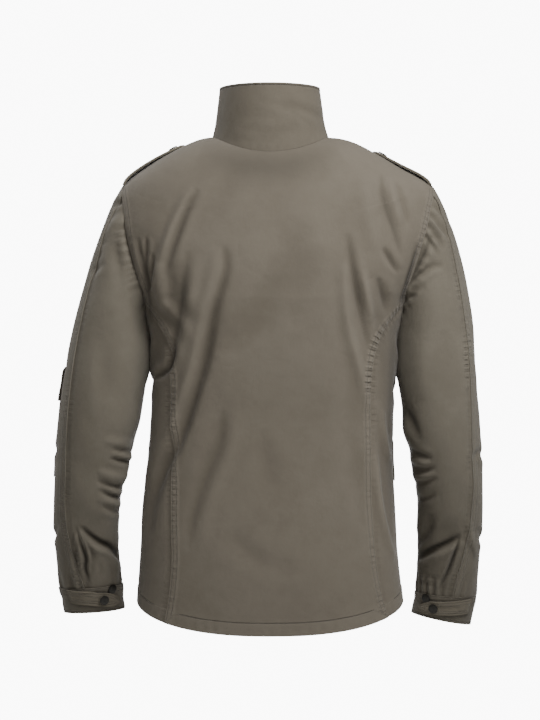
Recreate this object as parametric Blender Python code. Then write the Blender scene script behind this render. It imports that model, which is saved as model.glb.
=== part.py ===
"""Motorcycle jacket of cotton twill, filled out as worn and empty inside.

Metres, +Z up. The front faces -Y, and the wearer's left is +X. The origin is the middle of the neck's base.
Every cloth piece is a wall between two grids of points. The grids come from three surfaces, body(), sleeve() and
cuff(), which read the tables of sections below. Tables are in millimetres and degrees.
"""

import math

import bmesh
import bpy
import numpy as np
from mathutils import Matrix, Vector

MM = 0.001
SEAM_GAP = 0.3 * MM
CLOTH = 2.0 * MM
STIFF_CLOTH = 3.0 * MM
STRAP_CLOTH = 2.4 * MM
SIDES = {"left": 1, "right": -1}


def table(columns, rows):
    """A table's columns by name."""
    return dict(zip(columns.split(), np.array(rows, float).T))


# Sections of the body from the neckline down. Each is a ring: its height at the sides, the centre back and the centre
# front, its reach to each of the four, how square it is, and how late it swings from the side's height to the centre's.
BODY = table(
    "down side_z back_z front_z left right back front square swing",
    [
        [0, 18, -10, -64, 86, 88, 76, 80, 2.0, 2.0],
        [14, 15, -24, -73, 107, 113, 85, 88, 2.2, 1.9],
        [35, -5, -46, -88, 150, 157, 94, 96, 2.5, 1.8],
        [58, -32, -74, -106, 193, 204, 102, 103, 2.45, 1.7],
        [80, -54, -103, -126, 221, 243, 109, 109, 2.2, 1.7],
        [110, -90, -132, -148, 232, 254, 114, 114, 2.2, 1.8],
        [160, -150, -172, -180, 225, 242, 119, 119, 2.3, 2.0],
        [205, -204, -210, -212, 201, 216, 120, 121, 2.4, 2.0],
        [236, -237, -237, -238, 187, 199, 120, 122, 2.4, 2.0],
        [256, -258, -258, -258, 182, 193, 118, 122, 2.4, 2.0],
        [330, -333, -333, -333, 176, 188, 111, 119, 2.4, 1.8],
        [400, -404, -404, -404, 179, 185, 104, 116, 2.4, 1.6],
        [470, -474, -476, -476, 183, 185, 104, 116, 2.4, 1.4],
        [540, -543, -550, -549, 191, 188, 109, 118, 2.4, 1.2],
        [610, -608, -628, -624, 195, 192, 114, 121, 2.4, 1.2],
        [690, -672, -714, -702, 199, 199, 117, 123, 2.4, 1.2],
    ],
)

# The back's curved seams and the side-front seams, as shares of the body's reach to the side.
SEAMS = table(
    "down back_left back_right front",
    [
        [228, 0.970, 0.970, 0.982],
        [262, 0.900, 0.896, 0.970],
        [285, 0.860, 0.842, 0.962],
        [310, 0.838, 0.810, 0.956],
        [340, 0.828, 0.793, 0.950],
        [400, 0.818, 0.798, 0.945],
        [530, 0.762, 0.805, 0.940],
        [600, 0.738, 0.813, 0.940],
        [650, 0.750, 0.838, 0.940],
        [690, 0.772, 0.868, 0.940],
    ],
)

ARMHOLE_TOP, ARMHOLE_FOOT = 80, 240
ARMHOLE_BACK, ARMHOLE_FRONT = 57, 50
ARMHOLE_ROUND = 0.85
MITRE_FROM, MITRE_FULL, LEAST_MITRE = -0.1, 0.4, 0.6
SIDE_PANEL_FROM = 150
SEAM_EASE = 12

# Sections of each sleeve from the armhole to the cuff seam: its outer and inner edge as seen from behind, its depth
# behind and before its middle, and where its middle lies.
SLEEVE_COLUMNS = "along out_x out_z in_x in_z back front mid_y"
SLEEVES = {
    "left": table(
        SLEEVE_COLUMNS,
        [
            [0, 220, -54, 186, -241, 57, 50, 0],
            [30, 235, -80, 185.4, -250, 59, 54, 0],
            [75, 252.5, -121, 182.8, -263, 61, 57, 0],
            [125, 268.5, -168, 181.0, -281, 63, 60, 0],
            [180, 284, -221, 179.2, -302, 64, 62, 1],
            [240, 298, -279, 181.5, -325, 63, 63, 2],
            [300, 309, -338, 187, -358, 61, 62, 3],
            [370, 318, -408, 196, -412, 58, 59, 2],
            [440, 323, -478, 211, -474, 54, 55, -6],
            [510, 327, -549, 226.5, -539, 50, 51, -21],
            [570, 325.5, -609, 229.5, -599, 47, 48, -38],
            [622, 321.5, -661, 225, -655, 45, 46, -53],
        ],
    ),
    "right": table(
        SLEEVE_COLUMNS,
        [
            [0, 243, -54, 197.5, -241, 57, 50, 0],
            [30, 258, -80, 197, -250, 59, 54, 0],
            [75, 273, -122, 194.6, -264, 62, 58, 0],
            [125, 285, -170, 192.8, -284, 64, 61, 0],
            [180, 296, -224, 190.9, -308, 64, 63, 1],
            [240, 305, -284, 190.2, -338, 63, 63, 2],
            [300, 310, -343, 196.5, -378, 60, 61, 3],
            [370, 315, -412, 201, -424, 57, 58, 2],
            [440, 319.5, -482, 213, -478, 53, 54, -6],
            [510, 321, -552, 222, -540, 49, 50, -21],
            [570, 318.5, -613, 224, -601, 46, 47, -38],
            [632, 315, -675, 222, -667, 44, 45, -54],
        ],
    ),
}
CUFF_FEET = {
    "left": {"out_x": 314.5, "out_z": -700, "in_x": 222.5, "in_z": -694, "back": 44, "front": 45, "mid_y": -63},
    "right": {"out_x": 307, "out_z": -719, "in_x": 217, "in_z": -701, "back": 43, "front": 44, "mid_y": -65},
}
CUFF_OVER_SLEEVE = 0.6
ARMHOLE_FADE = 130

# How far the back seam of a sleeve has turned from the shoulder, down its length. The front seam keeps its own place.
SLEEVE_SEAM_BACK, SLEEVE_SEAM_FRONT = 100 / 3, -100
SLEEVE_SEAM = table("along turn", [[0, 100 / 3], [120, 36], [300, 42], [440, 50], [530, 60], [626, 84]])

# The largest folds. Those of the body run from (x, z) to (x, z) on the back or the front, those of a sleeve from
# (turn, along) to (turn, along). A trough has a lift under 0.
FOLD_FADE = 0.7
BODY_FOLDS = table(
    "behind x_top z_top x_foot z_foot width lift",
    [
        [1, 71, -228, 118, -365, 15, -3.2],
        [1, 112, -345, 165, -500, 15, -4.2],
        [1, 92, -340, 140, -480, 12, 2.4],
        [1, 59, -368, 104, -516, 12, -2.6],
        [1, 128, -196, 160, -335, 11, -4.5],
        [1, 112, -200, 142, -330, 12, 3.0],
        [1, 176, -128, 178, -205, 10, -3.0],
        [1, -156, -66, -186, -170, 13, -2.6],
        [1, -165, -388, -176, -470, 10, 2.4],
        [1, -152, -464, -178, -600, 12, 2.6],
        [1, -132, -470, -160, -600, 12, -2.4],
        [-1, 120, -180, 95, -330, 14, -3.0],
        [-1, -118, -176, -90, -320, 14, -3.0],
        [-1, 60, -300, 105, -430, 13, -2.6],
        [-1, -56, -310, -110, -440, 13, -2.6],
    ],
)
SLEEVE_FOLDS = {
    "left": table(
        "turn_top along_top turn_foot along_foot width lift",
        [
            [70, 40, 96, 120, 9, -2.2],
            [88, 150, 62, 290, 15, -2.8],
            [110, 205, 92, 350, 13, 2.0],
            [148, 395, 196, 404, 9, -3.8],
            [142, 430, 200, 446, 9, -4.2],
            [136, 468, 190, 486, 9, -3.6],
            [60, 400, 96, 470, 12, -2.6],
            [62, 506, 150, 566, 10, -5.2],
            [84, 470, 138, 520, 11, 2.6],
            [250, 396, 290, 380, 11, -3.0],
            [246, 440, 300, 430, 11, -3.0],
            [300, 120, 280, 260, 15, -2.4],
        ],
    ),
    "right": table(
        "turn_top along_top turn_foot along_foot width lift",
        [
            [58, 46, 80, 116, 9, -2.6],
            [80, 40, 100, 100, 9, -2.4],
            [92, 160, 58, 280, 15, -2.6],
            [150, 400, 204, 410, 9, -3.6],
            [146, 438, 206, 452, 9, -4.0],
            [140, 480, 196, 492, 9, -3.4],
            [20, 430, 70, 408, 11, -4.0],
            [20, 466, 66, 470, 12, 2.6],
            [66, 528, 150, 575, 10, -5.2],
            [84, 490, 140, 530, 11, 2.6],
            [252, 400, 292, 384, 11, -3.0],
            [300, 130, 280, 250, 15, -2.4],
        ],
    ),
}
COLLAR = table(
    "share reach_out",
    [[0, 0.0], [0.22, 0.36], [0.48, 0.58], [0.76, 0.80], [1, 1.0]],
)
COLLAR_TOP = {"left": 75.5, "right": 74.5, "back": 71, "front": 74}
COLLAR_TOP_SIDE_Z, COLLAR_TOP_FRONT_Z = 92, 80

YOKE_STEPS, ARMHOLE_STEPS, SEAM_STEPS = 7, 9, 14
BACK_COLUMNS, FRONT_COLUMNS, SIDE_COLUMNS = 18, 10, 6
SLEEVE_STEPS, CUFF_STEPS, COLLAR_STEPS = 23, 3, 5

ZIP_SLOT = 3.7
ZIP_CHAIN, ZIP_TAPE = 3.4, 14.0
ZIP_RAISED, ZIP_SUNK, ZIP_TAPE_THICK = 0.3, 0.4, 1.0
ZIP_TOP_SHARE, ZIP_FOOT_DOWN, ZIP_AT_NECK = 0.93, 678, 8

PATCH_LIFT = 0.55
EPAULETTE = {
    "left": {"from": 25, "to": 79},
    "right": {"from": 34, "to": 79},
    "half_width": 22,
    "point": [0.25, 0.8],
    "lift": 3.4,
}
TAB = {
    "left": {"root": 48, "tip": 146, "share_root": 0.30, "share_tip": 0.57, "half": 0.26, "lift": 3.4},
    "right": {"root": 40, "tip": 143, "share_root": 0.30, "share_tip": 0.62, "half": 0.27, "lift": 2.6},
}
# A snap's section from its rim to its crown, as (share of its radius, height).
SNAP_PROFILE = [(1, 0), (1, 0.9), (0.9, 1.4), (0.72, 1.25), (0.62, 1.6), (0.3, 2.0)]
SNAP_RADIUS, SNAP_SIDES = 7.2, 18
SNAP_CLEAR = 1.2 * MM
SNAPS_ON_CUFF = {
    "left": {"turn": 134, "share": 0.12, "tab_turn": 114},
    "right": {"turn": 131, "share": 0.19, "tab_turn": 112},
}
POCKET_ROWS, FLAP_FROM_ROW, FLAP_LONG = range(7, 13), 6, 66
POCKET_PUFF = 7.0
FLAP_OVER = 2.9
SLEEVE_POCKET_ROWS, SLEEVE_FLAP_ROW, SLEEVE_FLAP_LONG = range(12, 18), 11, 52
SLEEVE_POCKET_COLUMNS = slice(1, 6)
SLEEVE_POCKET_PUFF = 2.6
SLIDER = {"wide": 9.0, "tall": 13.0, "thick": 3.2, "share": 0.74, "bevel": 0.9}
BRIDGE = {"wide": 3.0, "half": 5.0, "bar": 1.4, "rise": 2.8, "play": 1.2}
PULL = {"wide": 8.0, "long": 29.0, "thick": 1.6, "slot_wide": 5.0, "slot_long": 6.6}
CENTRE_FRONT = -math.pi / 2


def curve(knots, values, at):
    """A smooth curve through the values at the knots, read at the places given."""
    at = np.clip(at, knots[0], knots[-1])
    slopes = np.gradient(values, knots)
    i = np.clip(np.searchsorted(knots, at) - 1, 0, len(knots) - 2)
    span = knots[i + 1] - knots[i]
    t = (at - knots[i]) / span
    start = values[i] * (1 + 2 * t) * (1 - t) ** 2 + slopes[i] * span * t * (1 - t) ** 2
    end = values[i + 1] * (3 - 2 * t) * t**2 + slopes[i + 1] * span * (t - 1) * t**2
    return start + end


def power(value, exponent):
    """The value raised to the exponent, keeping its sign."""
    return np.sign(value) * np.abs(value) ** exponent


def unit(vectors):
    return vectors / np.linalg.norm(vectors, axis=-1, keepdims=True)


def fold_lift(x, y, folds, ends):
    """How far the folds move the cloth out at (x, y). Each is a straight soft ridge that fades to its ends."""
    lift = np.zeros(np.shape(x))
    for x0, y0, x1, y1, width, height in zip(*(folds[name] for name in ends)):
        length = math.hypot(x1 - x0, y1 - y0)
        t = ((x - x0) * (x1 - x0) + (y - y0) * (y1 - y0)) / length**2
        off = ((x - x0) * (y1 - y0) - (y - y0) * (x1 - x0)) / length
        fade = np.sin(np.pi * np.clip(t, 0, 1)) ** FOLD_FADE
        lift += height * fade * np.exp(-((off / width) ** 2))
    return lift


def body(angle, down):
    """Points of the body's outer face. The angle runs from the left side (0) to the centre back (90 degrees)."""
    angle, down = np.broadcast_arrays(np.asarray(angle, float), np.asarray(down, float))
    row = {name: curve(BODY["down"], values, down) for name, values in BODY.items()}
    across, deep = np.cos(angle), np.sin(angle)
    behind = deep > 0
    reach = np.where(across > 0, row["left"], row["right"])
    depth = np.where(behind, row["back"], row["front"])
    centre_z = np.where(behind, row["back_z"], row["front_z"])
    x = reach * power(across, 2 / row["square"])
    y = depth * power(deep, 2 / row["square"])
    z = row["side_z"] + (centre_z - row["side_z"]) * np.abs(deep) ** row["swing"]
    lift = np.zeros(x.shape)
    for side in (1, -1):
        chosen = {name: values[BODY_FOLDS["behind"] == side] for name, values in BODY_FOLDS.items()}
        here = fold_lift(x, z, chosen, ["x_top", "z_top", "x_foot", "z_foot", "width", "lift"])
        lift += np.where(behind == (side > 0), here, 0) * np.clip(np.abs(deep) * 4, 0, 1)
    out = unit(np.stack([x / reach**2, y / depth**2], -1))
    return np.stack([x + lift * out[..., 0], y + lift * out[..., 1], z], -1) * MM


def side_angle(angle, side):
    """The angle on the right side that mirrors an angle on the left."""
    return angle if side == "left" else math.pi - angle


def angle_of_share(share, down):
    """The body's angle where x is this share of its reach to the side."""
    return np.arccos(np.clip(share, 0, 1) ** (curve(BODY["down"], BODY["square"], down) / 2))


def armhole(turn):
    """Angle and level of the armhole on the left, turning from the shoulder (0) by the back (90) to the underarm."""
    turn = np.radians(turn)
    middle, half = (ARMHOLE_TOP + ARMHOLE_FOOT) / 2, (ARMHOLE_FOOT - ARMHOLE_TOP) / 2
    down = middle - half * power(np.cos(turn), ARMHOLE_ROUND)
    width = np.where(np.sin(turn) > 0, ARMHOLE_BACK, ARMHOLE_FRONT)
    depth = np.where(
        np.sin(turn) > 0,
        curve(BODY["down"], BODY["back"], down),
        curve(BODY["down"], BODY["front"], down),
    )
    share = width * np.abs(np.sin(turn)) ** ARMHOLE_ROUND / depth
    angle = np.arcsin(share ** (curve(BODY["down"], BODY["square"], down) / 2))
    return np.sign(np.sin(turn)) * angle, down


def sleeve_rings(row, turn):
    """Points on flat rings given by their outer and inner edge, depth and middle."""
    swing = (1 + np.cos(turn)) / 2
    x = row["in_x"] + (row["out_x"] - row["in_x"]) * swing
    z = row["in_z"] + (row["out_z"] - row["in_z"]) * swing
    depth = np.where(np.sin(turn) > 0, row["back"], row["front"])
    y = row["mid_y"] + depth * np.sin(turn)
    return np.stack([x, y, z], -1)


def sleeve(side, turn, along):
    """Points of a sleeve's outer face. At along = 0 they lie on the armhole, 0.3 mm clear of the body."""
    rows = SLEEVES[side]
    turn, along = np.broadcast_arrays(np.asarray(turn, float), np.asarray(along, float))
    row = {name: curve(rows["along"], values, along) for name, values in rows.items()}
    seam = curve(SLEEVE_SEAM["along"], SLEEVE_SEAM["turn"], along)
    wide = (turn - SLEEVE_SEAM_FRONT) % 360 + SLEEVE_SEAM_FRONT
    over = wide <= SLEEVE_SEAM_BACK
    upper = (wide - SLEEVE_SEAM_FRONT) / (SLEEVE_SEAM_BACK - SLEEVE_SEAM_FRONT)
    under = (wide - SLEEVE_SEAM_BACK) / (SLEEVE_SEAM_FRONT + 360 - SLEEVE_SEAM_BACK)
    turned = np.where(
        over,
        SLEEVE_SEAM_FRONT + (seam - SLEEVE_SEAM_FRONT) * upper,
        seam + (SLEEVE_SEAM_FRONT + 360 - seam) * under,
    )
    flat = sleeve_rings(row, np.radians(turned))
    middle = sleeve_rings(row, np.radians(turned) * 0) + sleeve_rings(row, np.radians(turned) * 0 + np.pi)
    out = unit(flat - middle / 2)
    folds = SLEEVE_FOLDS[side]
    around = {name: values.copy() for name, values in folds.items()}
    for name in ("turn_top", "turn_foot"):
        around[name] = np.radians(around[name]) * np.mean(rows["back"])
    place = np.radians(turned % 360) * np.mean(rows["back"])
    ends = ["turn_top", "along_top", "turn_foot", "along_foot", "width", "lift"]
    flat = flat + out * fold_lift(place, along, around, ends)[..., None]
    start = {name: values[0] for name, values in rows.items()}
    hole = sleeve_start(side, turn) - sleeve_rings(start, np.radians(turn))
    fade = np.clip(1 - along / ARMHOLE_FADE, 0, 1) ** 2
    points = flat + hole * fade[..., None]
    return points * [SIDES[side] * MM, MM, MM]


def sleeve_start(side, turn):
    """The armhole's points in millimetres, moved clear of the body's edge, with x growing outwards."""
    angle, down = armhole(turn)
    edge = body(side_angle(angle, side), down)
    step = 1e-3
    ahead = body(side_angle(armhole(turn + step)[0], side), armhole(turn + step)[1])
    behind = body(side_angle(armhole(turn - step)[0], side), armhole(turn - step)[1])
    out = normals(body, side_angle(angle, side), down)
    into = np.cross(unit(ahead - behind), out) * SIDES[side]
    points = edge + SEAM_GAP * unit(out + into)
    return points / [SIDES[side] * MM, MM, MM]


def normals(surface, first, second):
    """Unit normals of a surface, pointing out of the garment."""
    small = np.array([2e-3, 0.2])
    along_first = surface(first + small[0], second) - surface(first - small[0], second)
    along_second = surface(first, second + small[1]) - surface(first, second - small[1])
    return -unit(np.cross(along_first, along_second))


def sleeve_normals(side, turn, along):
    def surface(angle, at):
        return sleeve(side, np.degrees(angle), at)

    return normals(surface, np.radians(turn), np.asarray(along, float)) * SIDES[side]


def cuff(side, turn, share):
    """Points of a cuff's outer face, from the sleeve's end (0) to its edge (1)."""
    foot = CUFF_FEET[side]
    turn, share = np.broadcast_arrays(np.asarray(turn, float), np.asarray(share, float))
    row = {name: SLEEVES[side][name][-1] * (1 - share) + foot[name] * share for name in foot}
    middle = sleeve_rings(row, turn * 0) + sleeve_rings(row, turn * 0 + np.pi)
    points = sleeve_rings(row, np.radians(turn))
    points = points + unit(points - middle / 2) * CUFF_OVER_SLEEVE
    return points * [SIDES[side] * MM, MM, MM]


def cuff_normals(side, turn, share):
    def surface(angle, at):
        return cuff(side, np.degrees(angle), at / 100)

    return normals(surface, np.radians(turn), np.asarray(share, float) * 100) * SIDES[side]


def collar_face(angle, share):
    """Points of the collar's outer face, from the neckline (0) to its top (1)."""
    angle, share = np.broadcast_arrays(np.asarray(angle, float), np.asarray(share, float))
    foot = body(angle, 0) / MM
    across, deep = np.cos(angle), np.sin(angle)
    x = across * np.where(across > 0, COLLAR_TOP["left"], COLLAR_TOP["right"])
    y = deep * np.where(deep > 0, COLLAR_TOP["back"], COLLAR_TOP["front"])
    drop = np.where(deep < 0, deep**2, 0)
    z = COLLAR_TOP_SIDE_Z + (COLLAR_TOP_FRONT_Z - COLLAR_TOP_SIDE_Z) * drop
    inward = curve(COLLAR["share"], COLLAR["reach_out"], share)
    plan = foot[..., :2] + (np.stack([x, y], -1) - foot[..., :2]) * inward[..., None]
    height = foot[..., 2] + SEAM_GAP / MM + (z - foot[..., 2] - SEAM_GAP / MM) * share
    return np.concatenate([plan, height[..., None]], -1) * MM


def collar_normals(angle, share):
    def surface(first, second):
        return collar_face(first, second / 100)

    return -normals(surface, angle, np.asarray(share, float) * 100)


# Materials and meshes.


def material(name, colour, roughness, metallic=0.0):
    made = bpy.data.materials.new(name)
    made.use_nodes = True
    shader = made.node_tree.nodes["Principled BSDF"]
    shader.inputs["Base Color"].default_value = (*colour, 1)
    shader.inputs["Roughness"].default_value = roughness
    shader.inputs["Metallic"].default_value = metallic
    made.diffuse_color = (*colour, 1)
    return made


def add_mesh(name, points, faces, look, smooth=True):
    """A closed mesh as a named object, its faces turned outwards."""
    mesh = bpy.data.meshes.new(name)
    mesh.from_pydata([tuple(map(float, point)) for point in points], [], faces)
    tidy = bmesh.new()
    tidy.from_mesh(mesh)
    bmesh.ops.recalc_face_normals(tidy, faces=tidy.faces)
    tidy.to_mesh(mesh)
    tidy.free()
    if smooth:
        mesh.shade_smooth()
    else:
        mesh.shade_flat()
    mesh.materials.append(look)
    obj = bpy.data.objects.new(name, mesh)
    bpy.context.collection.objects.link(obj)
    return obj


def add_wall(name, outer, inner, look, ring=False):
    """A wall of cloth between two grids of points, rows down it and columns across it or round it."""
    rows, columns = outer.shape[:2]
    points = np.concatenate([outer.reshape(-1, 3), inner.reshape(-1, 3)])
    under = rows * columns
    last = columns if ring else columns - 1
    faces = []
    for i in range(rows - 1):
        for j in range(last):
            right = (j + 1) % columns
            a, b = i * columns + j, i * columns + right
            c, d = b + columns, a + columns
            faces += [(a, b, c, d), (d + under, c + under, b + under, a + under)]
    rim = [[i * columns + j for j in range(columns)] for i in (0, rows - 1)]
    if ring:
        rim = [loop + loop[:1] for loop in rim]
    else:
        rim += [[i * columns + j for i in range(rows)] for j in (0, columns - 1)]
    for loop in rim:
        faces += [(a, b, b + under, a + under) for a, b in zip(loop, loop[1:])]
    return add_mesh(name, points, faces, look)


def pull_in(grid, last=True):
    """Moves a grid's first column, and its last, inwards by half the seam's gap."""
    grid = grid.copy()
    grid[:, 0] += unit(grid[:, 1] - grid[:, 0]) * SEAM_GAP / 2
    if last:
        grid[:, -1] += unit(grid[:, -2] - grid[:, -1]) * SEAM_GAP / 2
    return grid


def mitred(own, other):
    """The direction that two walls share at a seam, long enough to keep both walls' thickness.

    Where the walls meet at more than a right angle each keeps more of its own direction.
    """
    both = unit(own + other)
    facing = np.sum(own * other, -1, keepdims=True)
    share = np.clip((facing - MITRE_FROM) / (MITRE_FULL - MITRE_FROM), 0, 1)
    shared = both / np.clip(np.sum(both * own, -1, keepdims=True), LEAST_MITRE, 1)
    return own * (1 - share) + shared * share


# The body's panels.

YOKE_ROWS = [ARMHOLE_TOP * (i / YOKE_STEPS) ** 1.1 for i in range(YOKE_STEPS)]
ARMHOLE_TURNS = np.linspace(0, SIDE_PANEL_FROM, ARMHOLE_STEPS + 1)


def seam_row(row):
    """Levels of the panels' rows under the armhole, counted from where the side panel starts."""
    start = armhole(SIDE_PANEL_FROM)[1]
    return start + (BODY["down"][-1] - start) * row / SEAM_STEPS


def seam_angle(side, behind, down):
    """The angle of a body seam under the armhole, on the left. It leaves the armhole where the side panel starts."""
    hole_angle, hole_down = armhole(SIDE_PANEL_FROM if behind else 360 - SIDE_PANEL_FROM)
    share = curve(SEAMS["down"], SEAMS["back_" + side if behind else "front"], down)
    start = np.cos(hole_angle) ** (2 / curve(BODY["down"], BODY["square"], hole_down))
    near = np.exp(-(down - hole_down) / SEAM_EASE)
    angle = angle_of_share(share * (1 - near) + start * near, down)
    return angle if behind else -angle


def panel_edge(side, behind):
    """Angle and level down a panel's outer edge on the left: shoulder, armhole, then the seam to the hem."""
    angle, down = armhole(ARMHOLE_TURNS if behind else 360 - ARMHOLE_TURNS)
    seam_down = seam_row(np.arange(1, SEAM_STEPS + 1))
    angles = [np.zeros(YOKE_STEPS), angle, seam_angle(side, behind, seam_down)]
    return np.concatenate(angles), np.concatenate([YOKE_ROWS, down, seam_down])


def armhole_rim(side, angle, down, behind):
    """Normals down a panel's outer edge, shared with the sleeve where the armhole is."""
    own = normals(body, side_angle(angle, side), down)
    turns = ARMHOLE_TURNS if behind else 360 - ARMHOLE_TURNS
    on_hole = slice(YOKE_STEPS, YOKE_STEPS + ARMHOLE_STEPS + 1)
    own[on_hole] = mitred(own[on_hole], sleeve_normals(side, turns, 0))
    return own


def across_panel(first, last, columns):
    """Grids of angle and level between a panel's two edges."""
    share = np.linspace(0, 1, columns + 1)[None, :]
    return [a[:, None] + (b - a)[:, None] * share for a, b in zip(first, last)]


def build_back(look):
    left, right = panel_edge("left", True), panel_edge("right", True)
    angle, down = across_panel(left, (math.pi - right[0], right[1]), BACK_COLUMNS)
    outer, out = body(angle, down), normals(body, angle, down)
    out[:, 0] = armhole_rim("left", *left, True)
    out[:, -1] = armhole_rim("right", *right, True)
    add_wall("back", pull_in(outer), pull_in(outer - CLOTH * out), look)


def centre_front_angle(side, down):
    reach = curve(BODY["down"], BODY[side], down)
    return -angle_of_share(ZIP_SLOT / reach, down)


def build_front(side, look):
    edge = panel_edge(side, False)
    angle, down = across_panel(edge, (centre_front_angle(side, edge[1]), edge[1]), FRONT_COLUMNS)
    outer = body(side_angle(angle, side), down)
    out = normals(body, side_angle(angle, side), down)
    out[:, 0] = armhole_rim(side, *edge, False)
    grids = pull_in(outer, last=False), pull_in(outer - CLOTH * out, last=False)
    add_wall("front_" + side, *grids, look)


def build_side(side, look):
    """The panel under the armhole. Its top row follows the armhole, and the rows below straighten out."""
    behind, before = panel_edge(side, True), panel_edge(side, False)
    from_row = YOKE_STEPS + ARMHOLE_STEPS
    angle, down = across_panel(
        [part[from_row:] for part in behind], [part[from_row:] for part in before], SIDE_COLUMNS
    )
    turns = np.linspace(SIDE_PANEL_FROM, 360 - SIDE_PANEL_FROM, SIDE_COLUMNS + 1)
    hole_angle, hole_down = armhole(turns)
    fade = np.array([1, 0.5, 0.2] + [0] * (len(angle) - 3))[:, None]
    angle = angle + (hole_angle - angle[0]) * fade
    down = down + (hole_down - down[0]) * fade
    outer = body(side_angle(angle, side), down)
    out = normals(body, side_angle(angle, side), down)
    out[0] = mitred(out[0], sleeve_normals(side, turns, 0))
    add_wall("side_" + side, pull_in(outer), pull_in(outer - CLOTH * out), look)


def build_collar(look):
    """The collar's columns stand over the columns of the panels, so that its seam follows theirs."""
    back = np.linspace(0, math.pi, BACK_COLUMNS + 1)
    slot = {side: centre_front_angle(side, 0.0) for side in SIDES}
    left = np.linspace(slot["left"], 0, FRONT_COLUMNS + 1)[:-1]
    right = np.linspace(math.pi, math.pi - slot["right"], FRONT_COLUMNS + 1)[1:]
    angle = np.concatenate([left, back, right])[None, :]
    share = np.linspace(1, 0, COLLAR_STEPS + 1)[:, None]
    outer = collar_face(angle, share)
    out = collar_normals(angle, share)
    out[-1, :, 2] = 0
    add_wall("collar", outer, outer - STIFF_CLOTH * unit(out), look)


# Sleeves and cuffs.


def sleeve_turns():
    """Where the points of each sleeve piece stand round it: over the points of the panels at the armhole."""
    under = np.linspace(SIDE_PANEL_FROM, 360 - SIDE_PANEL_FROM, SIDE_COLUMNS + 1)
    around = np.concatenate([ARMHOLE_TURNS, under[1:], (360 - ARMHOLE_TURNS[::-1])[1:-1]])
    around = np.sort(np.where(around > 359 + SLEEVE_SEAM_FRONT, around - 360, around))
    first, seam = (int(np.argmin(np.abs(around - at))) for at in (SLEEVE_SEAM_FRONT, SLEEVE_SEAM_BACK))
    over = around[first : seam + 1]
    return {"sleeve_upper_": over, "sleeve_under_": np.append(around[seam:], around[first] + 360)}


def sleeve_row(side, row):
    """How far along a sleeve its rings stand. They are a little closer near the armhole."""
    return (row / SLEEVE_STEPS) ** 1.05 * SLEEVES[side]["along"][-1]


def build_sleeve(side, look):
    along = sleeve_row(side, np.arange(SLEEVE_STEPS + 1))[:, None]
    for name, turns in sleeve_turns().items():
        turn = turns[None, :]
        outer = sleeve(side, turn, along)
        out = sleeve_normals(side, turn, along)
        angle, down = armhole(turns)
        out[0] = mitred(out[0], normals(body, side_angle(angle, side), down))
        add_wall(name + side, pull_in(outer), pull_in(outer - CLOTH * out), look)


def build_cuff(side, look):
    turn = np.arange(0, 360, 15)[None, :]
    share = np.linspace(0.012, 1, CUFF_STEPS + 1)[:, None]
    outer = cuff(side, turn, share)
    add_wall("cuff_" + side, outer, outer - STIFF_CLOTH * cuff_normals(side, turn, share), look, ring=True)


# What lies on the panels. Each piece is made from a panel's own points, moved out.


def add_patch(name, face, out, lift, thick, look):
    """A sheet over a grid of points: its underside is lifted off them, in millimetres."""
    lift = np.asarray(lift, float)[..., None] * MM
    add_wall(name, face + out * (lift + thick), face + out * lift, look)


def build_epaulette(side, look):
    """A strap sewn in at the armhole that runs up the shoulder to a blunt point, bulging off it on its way."""
    size = EPAULETTE
    down = np.linspace(size[side]["from"], size[side]["to"], 9)[:, None]
    taper = np.array(size["point"] + [1.0] * 7)[:, None]
    y = np.linspace(-1, 1, 7)[None, :] * size["half_width"] * taper
    depth = np.where(y > 0, curve(BODY["down"], BODY["back"], down), curve(BODY["down"], BODY["front"], down))
    angle = np.sign(y) * np.arcsin((np.abs(y) / depth) ** (curve(BODY["down"], BODY["square"], down) / 2))
    angle = side_angle(angle, side)
    along = np.linspace(0, 1, 9)[:, None]
    lift = PATCH_LIFT + size["lift"] * np.sin(np.pi * along**1.6) + 0 * y
    face, out = body(angle, down + 0 * y), normals(body, angle, down + 0 * y)
    out = unit(out + np.mean(out, 1, keepdims=True))
    add_patch("epaulette_" + side, face, out, lift, STRAP_CLOTH, look)
    return face[1, 3] + out[1, 3] * (lift[1, 3] * MM + STRAP_CLOTH + SEAM_GAP), out[1, 3]


def build_tab(side, look):
    """The strap round a cuff's back, sewn at its root and pointed at its tip."""
    size = TAB[side]
    along = np.linspace(0, 1, 10)[:, None]
    taper = np.interp(along, [0, 0.84, 1], [1, 1, 0.3])
    turn = size["root"] + (size["tip"] - size["root"]) * along
    middle = size["share_root"] + (size["share_tip"] - size["share_root"]) * along
    share = middle + np.linspace(-1, 1, 5)[None, :] * size["half"] * taper
    lift = PATCH_LIFT + size["lift"] * along**1.5 + 0 * share
    face, out = cuff(side, turn, share), cuff_normals(side, turn, share)
    add_patch("cuff_tab_" + side, face, out, lift, STRAP_CLOTH, look)


def add_snap(name, place, out, look):
    """A domed snap cap with a rolled edge, standing on the cloth."""
    profile, sides = SNAP_PROFILE, SNAP_SIDES
    turns = [2 * math.pi * k / sides for k in range(sides)]
    points = [
        (share * SNAP_RADIUS * MM * math.cos(turn), share * SNAP_RADIUS * MM * math.sin(turn), height * MM)
        for share, height in profile
        for turn in turns
    ]
    faces = [tuple(range(sides))[::-1], tuple(range(len(points) - sides, len(points)))]
    for ring in range(len(profile) - 1):
        for k in range(sides):
            a, b = ring * sides + k, ring * sides + (k + 1) % sides
            faces.append((a, b, b + sides, a + sides))
    snap = add_mesh(name, points, faces, look)
    snap.location = Vector(place)
    snap.rotation_euler = Vector(out).to_track_quat("Z", "Y").to_euler()
    return snap


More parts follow.
